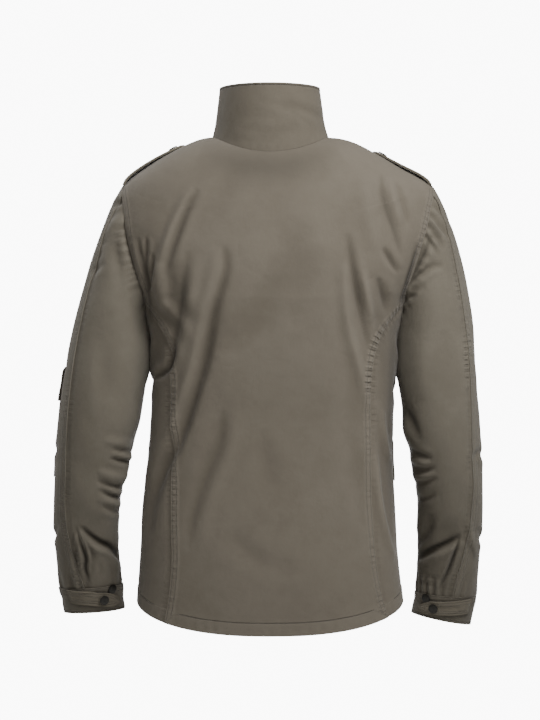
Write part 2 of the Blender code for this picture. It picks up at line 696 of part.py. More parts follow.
def build_cuff_snaps(side, look):
    """One snap holds the tab down, and its spare stands on the cuff beyond it."""
    spare, tab = SNAPS_ON_CUFF[side], TAB[side]
    out = cuff_normals(side, spare["turn"], spare["share"])
    place = cuff(side, spare["turn"], spare["share"]) + out * 2 * SEAM_GAP
    add_snap("cuff_snap_spare_" + side, place, out, look)
    along = (spare["tab_turn"] - tab["root"]) / (tab["tip"] - tab["root"])
    share = tab["share_root"] + (tab["share_tip"] - tab["share_root"]) * along
    out = cuff_normals(side, spare["tab_turn"], share)
    lift = (PATCH_LIFT + tab["lift"] * along**1.5) * MM + STRAP_CLOTH + SEAM_GAP
    add_snap("cuff_snap_tab_" + side, cuff(side, spare["tab_turn"], share) + out * lift, out, look)


def pocket_angles(side, down):
    """Columns of a lower pocket: the side panel's last column, then the front's first seven."""
    behind, before = seam_angle(side, True, down), seam_angle(side, False, down)
    middle = centre_front_angle(side, down)
    columns = [behind + (before - behind) * (SIDE_COLUMNS - 1) / SIDE_COLUMNS]
    columns += [before + (middle - before) * j / FRONT_COLUMNS for j in range(7)]
    return side_angle(np.stack(columns, -1), side)


def bulge(down, across, foot):
    """How far a pocket swells, from 0 to 1: little at its mouth, and nothing at its sewn sides and foot."""
    share = np.clip((down - down.min()) / (foot - down.min()), 0, 1)
    return np.interp(share, [0, 0.3, 0.75, 1], [0.3, 0.8, 1.0, 0.0]) * np.sin(np.pi * across) ** 0.5


def flap_rows(top, long):
    """Levels down a flap, and how far each is lifted over the pocket under it."""
    down = top + np.array([0, 8, 0.45 * long, 0.75 * long, long])
    return down[:, None], np.array([0, FLAP_OVER, FLAP_OVER, FLAP_OVER + 0.5, FLAP_OVER + 1])[:, None]


def add_flap_snap(name, face, out, lift, look):
    """The snap in the middle of a flap's lower part."""
    row, column = 3, face.shape[1] // 2
    place = face[row, column] + out[row, column] * (lift[row, column] * MM + STRAP_CLOTH + SNAP_CLEAR)
    add_snap(name, place, out[row, column], look)


def build_pocket(side, look, snap_look):
    """A bellows pocket on a front's lower part and the flap over it."""
    down = seam_row(np.array(POCKET_ROWS))
    angle = pocket_angles(side, down)
    across, level = np.linspace(0, 1, angle.shape[1]), down[:, None] + 0 * angle
    lift = PATCH_LIFT + POCKET_PUFF * bulge(level, across, down[-1])
    add_patch("pocket_" + side, body(angle, level), normals(body, angle, level), lift, CLOTH, look)
    level, over = flap_rows(seam_row(FLAP_FROM_ROW), FLAP_LONG)
    angle = pocket_angles(side, level[:, 0])
    level = level + 0 * angle
    lift = PATCH_LIFT + over + POCKET_PUFF * bulge(level, across, down[-1]) * (over > 0)
    face, out = body(angle, level), normals(body, angle, level)
    add_patch("pocket_flap_" + side, face, out, lift, STRAP_CLOTH, look)
    add_flap_snap("pocket_snap_" + side, face, out, lift, snap_look)


def build_sleeve_pocket(side, look, snap_look):
    """The pocket on the upper arm, with its flap."""
    turn = sleeve_turns()["sleeve_upper_"][SLEEVE_POCKET_COLUMNS][None, :]
    across = np.linspace(0, 1, turn.shape[1])
    along = sleeve_row(side, np.array(SLEEVE_POCKET_ROWS))[:, None]
    lift = PATCH_LIFT + SLEEVE_POCKET_PUFF * bulge(along, across, along[-1, 0])
    add_patch("sleeve_pocket", sleeve(side, turn, along), sleeve_normals(side, turn, along), lift, CLOTH, look)
    foot = along[-1, 0]
    along, over = flap_rows(sleeve_row(side, SLEEVE_FLAP_ROW), SLEEVE_FLAP_LONG)
    lift = PATCH_LIFT + over + SLEEVE_POCKET_PUFF * bulge(along, across, foot) * (over > 0)
    face, out = sleeve(side, turn, along), sleeve_normals(side, turn, along)
    add_patch("sleeve_flap", face, out, lift, STRAP_CLOTH, look)
    add_flap_snap("sleeve_snap", face, out, lift, snap_look)


# The zip.


def centre_front(x, share, down):
    """Point and outward direction beside the centre front, on the collar where share is over 0, else on the body."""
    reach = BODY["left"][0] if share > 0 else curve(BODY["down"], BODY["left" if x > 0 else "right"], down)
    angle = -angle_of_share(abs(x) / reach, down)
    angle = angle if x > 0 else -math.pi - angle
    if share > 0:
        return collar_face(angle, share), unit(collar_normals(angle, share))
    return body(angle, down), normals(body, angle, down)


def build_zip(look):
    """Both tapes and the closed chain between them, as one strip from the collar to the hem."""
    places = [(share, 0.0) for share in (ZIP_TOP_SHARE, 0.8, 0.6, 0.4, 0.2, 0.02)]
    places += [(0, down) for down in np.concatenate([[4, 16, 40], np.linspace(80, ZIP_FOOT_DOWN, 19)])]
    points = []
    for share, down in places:
        cloth = (STIFF_CLOTH if share > 0 or down < ZIP_AT_NECK else CLOTH) / MM
        sunk = -cloth - ZIP_SUNK * (2.5 if share < 0.1 and down < ZIP_AT_NECK else 1)
        outline = [(ZIP_TAPE, sunk), (ZIP_CHAIN, sunk), (ZIP_CHAIN, ZIP_RAISED), (-ZIP_CHAIN, ZIP_RAISED)]
        outline += [(-ZIP_CHAIN, sunk), (-ZIP_TAPE, sunk)]
        outline += [(-ZIP_TAPE, sunk - ZIP_TAPE_THICK), (ZIP_TAPE, sunk - ZIP_TAPE_THICK)]
        for x, height in outline:
            place, out = centre_front(x, share, down)
            points.append(place + out * height * MM)
    ring = len(outline)
    faces = [tuple(range(ring)), tuple(range(len(points) - ring, len(points)))]
    for row in range(len(places) - 1):
        for k in range(ring):
            a, b = row * ring + k, row * ring + (k + 1) % ring
            faces.append((a, b, b + ring, a + ring))
    add_mesh("zip", points, faces, look, smooth=False)


def add_box(name, size, middle, look, bevel=0.0):
    """A box of this size in millimetres, with bevelled edges."""
    bpy.ops.mesh.primitive_cube_add(size=1, location=(0, 0, 0))
    box = bpy.context.object
    box.name = box.data.name = name
    box.data.transform(Matrix.Translation(Vector(middle) * MM) @ Matrix.Diagonal((*[s * MM for s in size], 1)))
    if bevel:
        rounding = box.modifiers.new("rounding", "BEVEL")
        rounding.width, rounding.segments = bevel * MM, 2
        bpy.ops.object.modifier_apply(modifier=rounding.name)
    box.data.materials.append(look)
    return box


def combine(target, other, operation):
    """Joins or cuts with another object, which is then removed."""
    step = target.modifiers.new(operation.lower(), "BOOLEAN")
    step.operation, step.object, step.solver = operation, other, "EXACT"
    bpy.context.view_layer.objects.active = target
    bpy.ops.object.modifier_apply(modifier=step.name)
    bpy.data.objects.remove(other, do_unlink=True)


def build_slider(look):
    """The zip's slider with its bridge, and the pull tab that hangs from it. Local z points out of the cloth."""
    place, out = (vector * [0, 1, 1] for vector in centre_front(0.01, SLIDER["share"], 0.0))
    turned = Vector(out).to_track_quat("Z", "Y").to_euler()
    base = Vector(place + out * (ZIP_RAISED * MM + SEAM_GAP))
    thick, half, bar, rise = SLIDER["thick"], BRIDGE["half"], BRIDGE["bar"], BRIDGE["rise"]
    slider = add_box("zip_slider", (SLIDER["wide"], SLIDER["tall"], thick), (0, 0, thick / 2), look, SLIDER["bevel"])
    tall = rise + bar + 1
    arch = add_box("arch", (BRIDGE["wide"], 2 * half, tall), (0, 0, thick - 1 + tall / 2), look)
    opening = add_box("opening", (2 * BRIDGE["wide"], 2 * (half - bar), rise + 2), (0, 0, thick + rise / 2 - 1), look)
    combine(arch, opening, "DIFFERENCE")
    combine(slider, arch, "UNION")
    slider.location, slider.rotation_euler = base, turned
    # The pull tab's origin is the middle of the bar that turns inside the bridge.
    bar_y, bar_z = -(half - bar) + BRIDGE["play"], thick + rise / 2
    size = PULL
    pull = add_box(
        "zip_pull",
        (size["wide"], size["long"], size["thick"]),
        (0, size["thick"] / 2 - size["long"] / 2, 0),
        look,
    )
    slot = add_box(
        "slot",
        (size["slot_wide"], size["slot_long"], 4 * size["thick"]),
        (0, -size["thick"] / 2 - size["slot_long"] / 2, 0),
        look,
    )
    combine(pull, slot, "DIFFERENCE")
    rotation = turned.to_matrix()
    pull.location = base + rotation @ (Vector((0, bar_y, bar_z)) * MM)
    pull.rotation_euler = turned


for leftover in list(bpy.data.objects):
    bpy.data.objects.remove(leftover, do_unlink=True)

twill = material("cotton_twill", (0.19, 0.168, 0.135), 0.88)
snap_metal = material("snap_enamel", (0.022, 0.021, 0.019), 0.38, 0.4)
zip_coil = material("zip_coil", (0.035, 0.033, 0.03), 0.6)
zip_metal = material("zip_metal", (0.10, 0.095, 0.085), 0.35, 1.0)

build_back(twill)
build_collar(twill)
for name in SIDES:
    build_front(name, twill)
    build_side(name, twill)
    build_sleeve(name, twill)
    build_cuff(name, twill)
    build_tab(name, twill)
    build_cuff_snaps(name, snap_metal)
    add_snap("epaulette_snap_" + name, *build_epaulette(name, twill), snap_metal)
    build_pocket(name, twill, snap_metal)
build_sleeve_pocket("left", twill, snap_metal)
build_zip(zip_coil)
build_slider(zip_metal)
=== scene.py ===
import math

import bmesh
import bpy
import numpy as np
from mathutils import Matrix, Vector
from mathutils.bvhtree import BVHTree
from mathutils.kdtree import KDTree


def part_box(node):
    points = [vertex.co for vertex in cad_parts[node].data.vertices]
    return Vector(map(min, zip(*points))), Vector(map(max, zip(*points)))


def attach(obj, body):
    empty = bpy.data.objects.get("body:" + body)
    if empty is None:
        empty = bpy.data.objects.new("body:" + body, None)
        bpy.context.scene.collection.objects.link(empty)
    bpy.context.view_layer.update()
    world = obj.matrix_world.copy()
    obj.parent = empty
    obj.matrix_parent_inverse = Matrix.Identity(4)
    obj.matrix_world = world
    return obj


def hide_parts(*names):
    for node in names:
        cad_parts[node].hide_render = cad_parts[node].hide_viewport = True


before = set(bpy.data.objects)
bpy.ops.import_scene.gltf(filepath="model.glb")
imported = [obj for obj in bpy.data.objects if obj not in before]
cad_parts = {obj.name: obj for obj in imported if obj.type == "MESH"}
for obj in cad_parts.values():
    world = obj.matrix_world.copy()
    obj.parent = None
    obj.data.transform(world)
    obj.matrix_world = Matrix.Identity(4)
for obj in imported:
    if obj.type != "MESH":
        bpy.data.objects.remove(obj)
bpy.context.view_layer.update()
mm = 0.001
up, down, left, right, behind, before = (0, 0, 1), (0, 0, -1), (1, 0, 0), (-1, 0, 0), (0, 1, 0), (0, -1, 0)
print("frame loaded:", len(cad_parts), "nodes")


class Val:
    # a socket that can be added, multiplied and so on, as a number can
    def __init__(self, paint, socket):
        self.paint, self.socket = paint, socket

    def maths(self, operation, other, swapped=False):
        pair = [other, self] if swapped else [self, other]
        return self.paint.node("Math", {"operation": operation}, dict(enumerate(pair)))

    def __add__(self, other):
        return self.maths("ADD", other)

    def __sub__(self, other):
        return self.maths("SUBTRACT", other)

    def __rsub__(self, other):
        return self.maths("SUBTRACT", other, True)

    def __mul__(self, other):
        return self.maths("MULTIPLY", other)

    def __radd__(self, other):
        return self if other == 0 else self.maths("ADD", other)

    __rmul__ = __mul__

    def power(self, other):
        return self.maths("POWER", other)

    def sine(self):
        return self.paint.node("Math", {"operation": "SINE"}, {0: self})

    def clamped(self):
        return self.paint.node("Clamp", {}, {0: self})


class Nodes:
    # the nodes of one material, or of the world
    def __init__(self, tree):
        self.tree = tree

    def node(self, kind, settings, inputs, out=0):
        made = self.tree.nodes.new("ShaderNode" + kind)
        for name, value in settings.items():
            setattr(made, name, value)
        for name, value in inputs.items():
            if isinstance(value, Val):
                self.tree.links.new(value.socket, made.inputs[name])
            else:
                made.inputs[name].default_value = value
        return Val(self, made.outputs[out])

    def blend(self, amount, first, second):
        # a colour mixed from two
        first, second = (c if isinstance(c, Val) else (*c, 1) for c in (first, second))
        return self.node("Mix", {"data_type": "RGBA"}, {0: amount, 6: first, 7: second}, out=2)

    def bump(self, height, distance, strength=1.0, under=None):
        inputs = {"Height": height, "Distance": distance, "Strength": strength}
        if under:
            inputs["Normal"] = under
        return self.node("Bump", {}, inputs)

    def noise(self, where, scale, detail=2.0, rough=0.5, out=0):
        inputs = {"Vector": where, "Scale": scale, "Detail": detail, "Roughness": rough}
        return self.node("TexNoise", {}, inputs, out)


class Paint(Nodes):
    # one material, with what is the same all over it set on the shader itself
    def __init__(self, name, **fixed):
        self.material = bpy.data.materials.new(name)
        self.material.use_nodes = True
        super().__init__(self.material.node_tree)
        self.shader = self.tree.nodes["Principled BSDF"]
        self.place = self.node("TexCoord", {}, {}, out=3)
        for socket, value in fixed.items():
            self.shader.inputs[socket.replace("_", " ")].default_value = value

    def feed(self, **links):
        for socket, value in links.items():
            self.tree.links.new(value.socket, self.shader.inputs[socket.replace("_", " ")])


twill = {
    # the cloth's own colour, a paler one for the ridges' wear and their painted highlight, and a darker one for the
    # painted shade in the hollows
    "colour": (0.160, 0.139, 0.108),
    "fadedAndLit": (0.208, 0.184, 0.146),
    "deep": (0.108, 0.092, 0.069),
    "rough": 0.86,
    "ribs": 0.9,  # mm from one diagonal rib to the next
    "clouds": 7.0, "wash": 46.0, "yarn": 900.0,  # lumps to a metre
    # painted shade, darker towards the bottom: its colour, and the heights over which it grows
    "lowShadeColour": (0.02, 0.016, 0.01),
    "lowShadeTop": -0.30, "lowShadeBottom": -0.66,  # heights in metres
    "relief": {"wash": 1.6, "seams": 1.0, "grain": 0.12},  # mm
}


def paintTwill(name, tint=(1, 1, 1), low=0.15):
    # garment washed cotton: cloudy colour, rubbed ridges that are paler for their wear and for a painted highlight,
    # painted shade in the hollows of the folds, along slits and seams and round what is sewn on top, painted shade
    # darker towards the bottom, and a fine diagonal rib
    paint = Paint(name, Sheen_Weight=0.12, Sheen_Roughness=0.45, Specular_IOR_Level=0.25)
    flat = paint.node("UVMap", {"uv_map": "cloth"}, {})
    wearAndFoldShade, pucker, phase, rowIn, rowOut, share, paintedShade = (
        paint.node("Attribute", {"attribute_name": name}, {}, out=2)
        for name in ("wearAndFoldShade", "pucker", "phase", "rowIn", "rowOut", "share", "paintedShade")
    )
    clouds = paint.noise(paint.place, twill["clouds"], 3.0, 0.55)
    wash = paint.noise(paint.place, twill["wash"], 4.0, 0.6)
    yarn = paint.noise(paint.place, twill["yarn"], 2.0, 0.6)
    streak = paint.noise(paint.node("Mapping", {}, {"Vector": flat, "Scale": (twill["yarn"], 60, 1)}), 1.0, 2.0)
    base, fadedAndLit, deep = (tuple(c * t for c, t in zip(twill[k], tint)) for k in ("colour", "fadedAndLit", "deep"))
    seam = pucker * (phase.sine() + (phase * 2.3 + 1).sine() * 0.35)
    channel = share * sum(((row * 1.3).power(2) + 1).power(-2) for row in (rowIn, rowOut))
    # paler: wear on ridges and seams and random washed tone, with a painted highlight on the ridges and where a shade
    # path is under 0; darker: painted shade in the hollows of the folds and where an edge lies under its neighbour,
    # with random washed tone
    wearAndHighlight = (wearAndFoldShade * 0.55 + seam * 0.35 + (clouds - 0.5) * 0.9 + (wash - 0.5) * 0.5 - paintedShade + 0.12).clamped()
    foldShade = (wearAndFoldShade * -0.8 + (0.5 - clouds) * 0.4 + (0.5 - wash) * 0.35).clamped()
    colour = paint.blend(foldShade, paint.blend(wearAndHighlight, base, fadedAndLit), deep)
    speck = ((yarn - 0.5) * 0.55 + (streak - 0.5) * 0.5 + 0.5).clamped()
    colour = paint.blend(speck * 0.34, colour, tuple(c * 0.62 for c in base))
    colour = paint.blend((channel * 0.5).clamped(), colour, tuple(c * 0.55 for c in base))
    # near black where painted shade lies: along slits, deep folds and seams, and round what is sewn on top
    colour = paint.blend(paintedShade.clamped(), colour, tuple(c * 0.14 for c in base))
    # painted shade, darker towards the bottom, by this material's share
    height = paint.node("SeparateXYZ", {}, {0: paint.place}, out=2)
    bottomShade = paint.node("MapRange", {}, {0: height, 1: twill["lowShadeTop"], 2: twill["lowShadeBottom"], 3: 0, 4: low})
    colour = paint.blend(bottomShade, colour, twill["lowShadeColour"])
    split = paint.node("SeparateXYZ", {}, {0: flat})
    across, along = split, Val(paint, split.socket.node.outputs[1])
    rib = ((across + along * 0.9) * (2 * math.pi / (twill["ribs"] * mm))).sine()
    grain = rib * 0.5 + yarn * 0.9 + streak * 0.5
    sway = {0: paint.noise(paint.place, 5.0, out=1), 1: (0.1, 0.1, 0.1), 2: paint.place}
    bent = paint.node("VectorMath", {"operation": "MULTIPLY_ADD"}, sway)
    fold = paint.noise(bent, 13.0, 1.5, 0.4)
    crinkle = (((fold - 0.5).maths("ABSOLUTE", 0) * -9 + 1).clamped()).power(2) * (clouds * 4 - 1.9).clamped()
    relief = twill["relief"]
    soft = paint.bump(wash - crinkle * 0.5, relief["wash"] * mm, 0.5)
    soft = paint.bump(seam - channel * 0.6, relief["seams"] * mm, under=soft)
    paint.feed(
        Base_Color=colour,
        Roughness=(yarn - 0.5) * 0.16 + twill["rough"],
        Normal=paint.bump(grain, relief["grain"] * mm, 0.6, under=soft),
    )
    return paint.material


def paintThread():
    paint = Paint("thread", Roughness=0.7, Sheen_Weight=0.1)
    twist = paint.noise(paint.place, 2400.0, 1.0)
    paint.feed(Base_Color=paint.blend(twist, (0.115, 0.102, 0.082), (0.19, 0.17, 0.14)))
    return paint.material


def paintHard(name, lumps, colours, rough, relief, plated=None, bare=0):
    # worn metal, or enamel that is bare on its rims: rough and plated are each a range and where it starts
    paint = Paint(name, Metallic=1.0)
    marks = paint.noise(paint.place, lumps, 3.0, 0.6)
    if plated:
        paint.feed(Metallic=marks * plated[0] + plated[1])
    paint.feed(
        Base_Color=paint.blend((marks - bare).clamped(), *colours),
        Roughness=marks * rough[0] + rough[1],
        Normal=paint.bump(marks, relief * mm, 0.3),
    )
    return paint.material


def paintCoil(name, colour, ribs):
    paint = Paint(name)
    height = paint.node("SeparateXYZ", {}, {0: paint.place}, out=2)
    yarn = paint.noise(paint.place, 1500.0, 2.0)
    lines = (height * (2 * math.pi / (ribs * mm))).sine()
    paint.feed(
        Base_Color=paint.blend(yarn, tuple(c * 0.7 for c in colour), tuple(c * 1.5 for c in colour)),
        Roughness=yarn * 0.2 + 0.5,
        Normal=paint.bump(lines * 0.5 + yarn, 0.12 * mm, 0.4),
    )
    return paint.material


looks = {
    "twill": paintTwill("cottonTwill"),
    "strap": paintTwill("strapTwill", (0.95, 0.96, 0.93)),
    # the sleeves take more painted shade towards the bottom
    "sleeve": paintTwill("sleeveTwill", (0.965, 0.985, 0.985), 0.34),
    "collar": paintTwill("collarTwill", (0.88, 0.88, 0.87)),
    "thread": paintThread(),
    "enamel": paintHard(
        "snapEnamel", 420, ((0.016, 0.015, 0.013), (0.085, 0.078, 0.066)), (0.3, 0.2), 0.1, (0.4, 0.45), 0.35
    ),
    "metal": paintHard("zipMetal", 600, ((0.07, 0.066, 0.06), (0.16, 0.15, 0.135)), (0.25, 0.36), 0.08),
    "tape": paintCoil("zipTape", (0.030, 0.028, 0.024), 0.8),
    "teeth": paintCoil("zipTeeth", (0.022, 0.021, 0.020), 0.5),
}
print("materials painted")

# Where the creases lie, under the side each is seen from: its path in mm on that side, half its width, its depth (a
# ridge is under 0) and how far it leans, if it does, which puts its bright lip on one side.
trunkCreases = {"behind": [
    # from the left armpit down to the hem
    ([(67, -149), (64, -185), (81, -244), (94, -308), (111, -367), (135, -437), (152, -470), (171, -510)],
     8.5, 4.2, 0.5),
    ([(71, -387), (74, -431), (94, -481), (111, -531), (122, -589)], 10, 2.4, -0.4),
    ([(118, -158), (126, -196), (134, -253), (146, -298), (168, -344)], 8, 2.0, -0.8),
    ([(159, -173), (161, -206), (155, -246)], 9, -2.6),
    # the left armpit, and up from it to the shoulder
    ([(181, -136), (182, -173), (181, -214)], 3.6, 3.2),
    ([(171, -159), (174, -185), (179, -214)], 3.6, 3.2),
    ([(193, -136), (188, -173), (182, -208)], 4, 2.2),
    ([(142, -286), (143, -310), (153, -331), (174, -342)], 5, 3.4, 0.4),
    # the left shoulder blade
    ([(114, -64), (134, -104), (156, -160), (164, -196)], 6, -1.6),
    ([(104, -66), (124, -100), (145, -160), (154, -195)], 6, 2.2),
    # the right shoulder blade
    ([(-174, -45), (-181, -85), (-190, -120)], 5.5, -1.4),
    ([(-163, -41), (-167, -82), (-182, -129), (-192, -162)], 6.5, 1.2),
    ([(-138, -60), (-146, -110), (-156, -160)], 9, -1.2),
    ([(-186, -52), (-196, -88), (-202, -118)], 4.5, 1.4),
    ([(-164, -151), (-175, -169), (-187, -188)], 5, 2.2),
    ([(-112, -130), (-119, -178), (-130, -235), (-148, -310)], 6, 2.4, -0.4),
    ([(-109, -173), (-107, -205), (-114, -270), (-132, -334), (-142, -387)], 7, -2.4),
    ([(-135, -185), (-139, -217), (-146, -260)], 6, -1.8),
    ([(-158, -196), (-164, -217), (-172, -246)], 7, 2.4),
    # wide and shallow across the middle
    ([(-56, -121), (-33, -156), (-7, -202), (33, -266), (74, -308)], 24, 1.8),
    ([(-69, -150), (-45, -217), (-32, -272)], 20, 1.3),
    ([(9, -416), (6, -460), (0, -503)], 14, 1.0),
    ([(-119, -416), (-133, -489), (-142, -561)], 14, 1.2),
    ([(44, -26), (66, -66), (84, -108)], 16, 0.7),
    ([(-30, -60), (-60, -120), (-84, -190)], 26, -1.0),
    ([(-168, -396), (-172, -470), (-178, -560)], 13, 1.6),
    ([(-108, -300), (-124, -372), (-134, -440)], 16, 1.1),
    ([(66, -560), (20, -600), (-40, -618)], 14, 0.8),
    # beside the right seam, and low on the left
    ([(-165, -387), (-169, -424), (-178, -467)], 4.5, -2.2),
    ([(-153, -448), (-156, -474), (-161, -525), (-171, -571), (-185, -610)], 4.5, -2.6),
    ([(142, -416), (159, -474), (174, -532), (178, -576)], 9, 2.6),
], "left": [
    # where the body and the arm touch
    ([(10, -200), (6, -262), (0, -345)], 24, -3.4),
    # the sides
    ([(30, -262), (6, -300), (-24, -330)], 8, 2.4),
    ([(26, -330), (0, -352), (-30, -362)], 8, 2.0),
    ([(16, -420), (-6, -500), (4, -580)], 12, 1.6),
], "right": [
    ([(10, -200), (6, -262), (0, -340)], 24, -3.0),
    ([(28, -270), (2, -306), (-30, -326)], 8, 2.4),
    ([(30, -345), (4, -366), (-26, -372)], 8, 2.0),
    ([(10, -430), (-10, -510), (-4, -590)], 12, 1.6),
], "before": [
    # the front
    ([(128, -150), (112, -210), (88, -262), (62, -300)], 9, 3.0, 0.4),
    ([(150, -170), (140, -230), (128, -280)], 7, 2.6),
    ([(118, -120), (96, -160), (66, -190)], 11, 1.8),
    ([(-132, -150), (-118, -205), (-90, -255), (-58, -290)], 9, 3.0, -0.4),
    ([(-158, -165), (-146, -230), (-130, -285)], 7, 2.6),
    ([(-104, -110), (-84, -150), (-54, -176)], 11, 1.6),
    ([(44, -330), (78, -372), (120, -402)], 10, 2.2, 0.3),
    ([(-40, -318), (-82, -366), (-126, -396)], 10, 2.4, -0.3),
    ([(30, -470), (34, -540), (42, -610)], 11, 1.6),
    ([(-36, -450), (-30, -530), (-44, -620)], 11, 1.8),
]}
leftSleeveCreases = {"right": [
    ([(14, -205), (8, -262), (-2, -350)], 22, -4.0),
    ([(22, -448), (10, -500), (0, -552)], 18, -3.0),
], "behind": [
    ([(215, -80), (226, -83), (237, -89)], 4, 2.4),
    ([(215, -94), (232, -114), (249, -138)], 7, -2.0),
    ([(217, -108), (211, -135), (201, -165), (190, -188)], 5, 1.6),
    ([(229, -141), (226, -162), (218, -185)], 8, 1.8),
    ([(249, -153), (257, -170), (263, -197)], 5, 1.8),
    ([(242, -170), (254, -179), (266, -185)], 5, 1.4),
    ([(233, -271), (239, -330), (233, -374)], 16, 1.6),
    ([(257, -286), (263, -344), (260, -404)], 12, -1.2),
    # crumpled at the elbow
    ([(205, -439), (224, -437), (246, -434)], 6, -1.6),
    ([(199, -454), (214, -452), (236, -446)], 3.8, 2.4),
    ([(201, -470), (215, -467), (238, -459)], 4.0, 3.6, 0.4),
    ([(207, -488), (229, -488), (255, -479)], 5, -2.4),
    ([(209, -507), (232, -504), (257, -493)], 4.2, 3.5, 0.3),
    ([(213, -524), (233, -519), (254, -507)], 4, 3.2, 0.3),
    ([(214, -548), (232, -542), (250, -530)], 4, 2.2),
    ([(217, -535), (239, -527), (257, -520)], 5, -1.8),
    # the deep one over the cuff, and the vent
    ([(282, -564), (261, -585), (239, -598), (229, -611), (217, -631)], 5, 6.4, 0.5),
    ([(274, -580), (266, -603), (263, -622)], 4, 2.0),
    ([(289, -566), (283, -586), (276, -611), (277, -626), (273, -644)], 3.0, 4.6),
    ([(288, -585), (292, -611), (288, -640)], 3.2, 2.4),
    ([(255, -619), (254, -631), (257, -645)], 3, 1.2),
    ([(242, -622), (239, -634), (240, -647)], 3, 1.2),
], "before": [
    # the front and the inner side
    ([(190, -150), (206, -190), (214, -240)], 7, 2.4),
    ([(212, -430), (232, -420), (262, -404)], 6, 3.2, 0.3),
    ([(214, -462), (238, -458), (270, -440)], 6, 3.4, 0.3),
    ([(222, -500), (244, -496), (272, -484)], 5, 2.6),
    ([(228, -600), (250, -590), (284, -596)], 6, 3.0),
], "left": [
    ([(18, -300), (4, -350), (12, -390)], 10, 1.6),
    ([(22, -440), (0, -452), (-24, -446)], 6, 2.2),
    ([(6, -560), (-22, -580), (-52, -574)], 6, 2.6),
]}
rightSleeveCreases = {"left": [
    ([(14, -205), (8, -262), (-2, -345)], 22, -3.8),
], "behind": [
    ([(-232, -96), (-246, -110), (-266, -133)], 4.6, 3.6, 0.4),
    ([(-228, -112), (-243, -129), (-258, -152)], 4.6, 3.8, 0.4),
    ([(-223, -128), (-236, -141), (-249, -160)], 4.4, 3.2, 0.4),
    ([(-237, -83), (-252, -95), (-266, -111)], 4, 1.6),
    ([(-204, -202), (-220, -168), (-240, -130)], 4.8, 3.2, 0.4),
    ([(-205, -206), (-224, -187), (-240, -177), (-257, -176)], 4.8, 3.4, 0.4),
    ([(-196, -231), (-205, -222), (-217, -219)], 4, 2.6),
    ([(-204, -218), (-215, -210), (-229, -207)], 5, 1.6),
    ([(-251, -271), (-263, -330), (-268, -389)], 18, 1.6),
    ([(-227, -286), (-221, -344), (-227, -374)], 14, -1.4),
    # crumpled at the elbow
    ([(-198, -376), (-208, -402), (-222, -436)], 6.5, 3.8, 0.5),
    ([(-207, -448), (-221, -455), (-239, -462)], 4.5, 2.6),
    ([(-208, -462), (-224, -467), (-239, -468)], 4.5, -2.0),
    ([(-209, -474), (-227, -479), (-245, -474)], 4.2, 2.4),
    ([(-211, -489), (-229, -488), (-245, -482)], 4.5, -2.0),
    ([(-212, -502), (-230, -498), (-248, -489)], 4.2, 2.2),
    ([(-215, -526), (-233, -522), (-246, -513)], 4.2, 2.8),
    ([(-316, -448), (-307, -455), (-301, -465)], 5, 2.2),
    # the deep one over the cuff, and the vent
    ([(-220, -598), (-236, -572), (-240, -545)], 6, 4.6, -0.4),
    ([(-286, -578), (-263, -591), (-242, -603), (-217, -620)], 5, 6.4, -0.5),
    ([(-283, -583), (-274, -611), (-267, -632), (-257, -657)], 3.2, 5.0),
    ([(-295, -551), (-301, -582), (-310, -610)], 4.5, -2.2),
    ([(-227, -637), (-242, -642), (-260, -647)], 3, 1.4),
    ([(-223, -648), (-236, -653), (-251, -654)], 2.6, 1.4),
], "right": [
    ([(0, -110), (0, -190), (-4, -290)], 30, -3.4),
    ([(20, -290), (8, -340), (16, -392)], 10, 1.6),
    ([(24, -446), (2, -458), (-24, -450)], 6, 2.2),
    ([(4, -566), (-24, -586), (-54, -580)], 6, 2.6),
], "before": [
    # the front and the outer side
    ([(-196, -150), (-214, -196), (-222, -244)], 7, 2.4),
    ([(-208, -420), (-236, -412), (-266, -398)], 6, 3.2, 0.3),
    ([(-212, -458), (-240, -450), (-272, -436)], 6, 3.2, 0.3),
    ([(-216, -500), (-244, -498), (-274, -480)], 5, 2.6),
    ([(-222, -606), (-250, -600), (-286, -608)], 6, 3.0),
]}
collarCreases = {"behind": [
    ([(-23, 60), (-50, 54), (-82, 43)], 6, 1.4),
    ([(44, 24), (0, 19), (-44, 22)], 7, 0.8),
    ([(50, 41), (18, 41), (-18, 38)], 8, 0.6),
    ([(-6, 56), (-30, 50), (-62, 30)], 3.6, 0.8, 0.4),
    ([(20, 66), (-14, 60), (-40, 62)], 4, 0.5),
    ([(64, 12), (20, 6), (-30, 10)], 5, 0.5),
], "before": [
    ([(20, 66), (44, 50), (66, 20)], 7, 1.4),
    ([(-16, 40), (-44, 26), (-64, 0)], 7, 1.2),
]}
cuffCreases = {"behind": [
    ([(222, -668), (252, -664), (286, -670)], 3.6, 0.8, 0.4),
    ([(230, -682), (258, -680), (280, -686)], 4, 0.8, -0.3),
    ([(-222, -670), (-248, -668), (-282, -672)], 3.6, 0.8, 0.4),
    ([(-232, -686), (-262, -690), (-286, -688)], 4, 0.8, -0.3),
], "left": [
    ([(10, -668), (-30, -680), (-76, -676)], 6, 0.9),
], "right": [
    ([(4, -676), (-36, -672), (-80, -684)], 6, 0.9),
]}
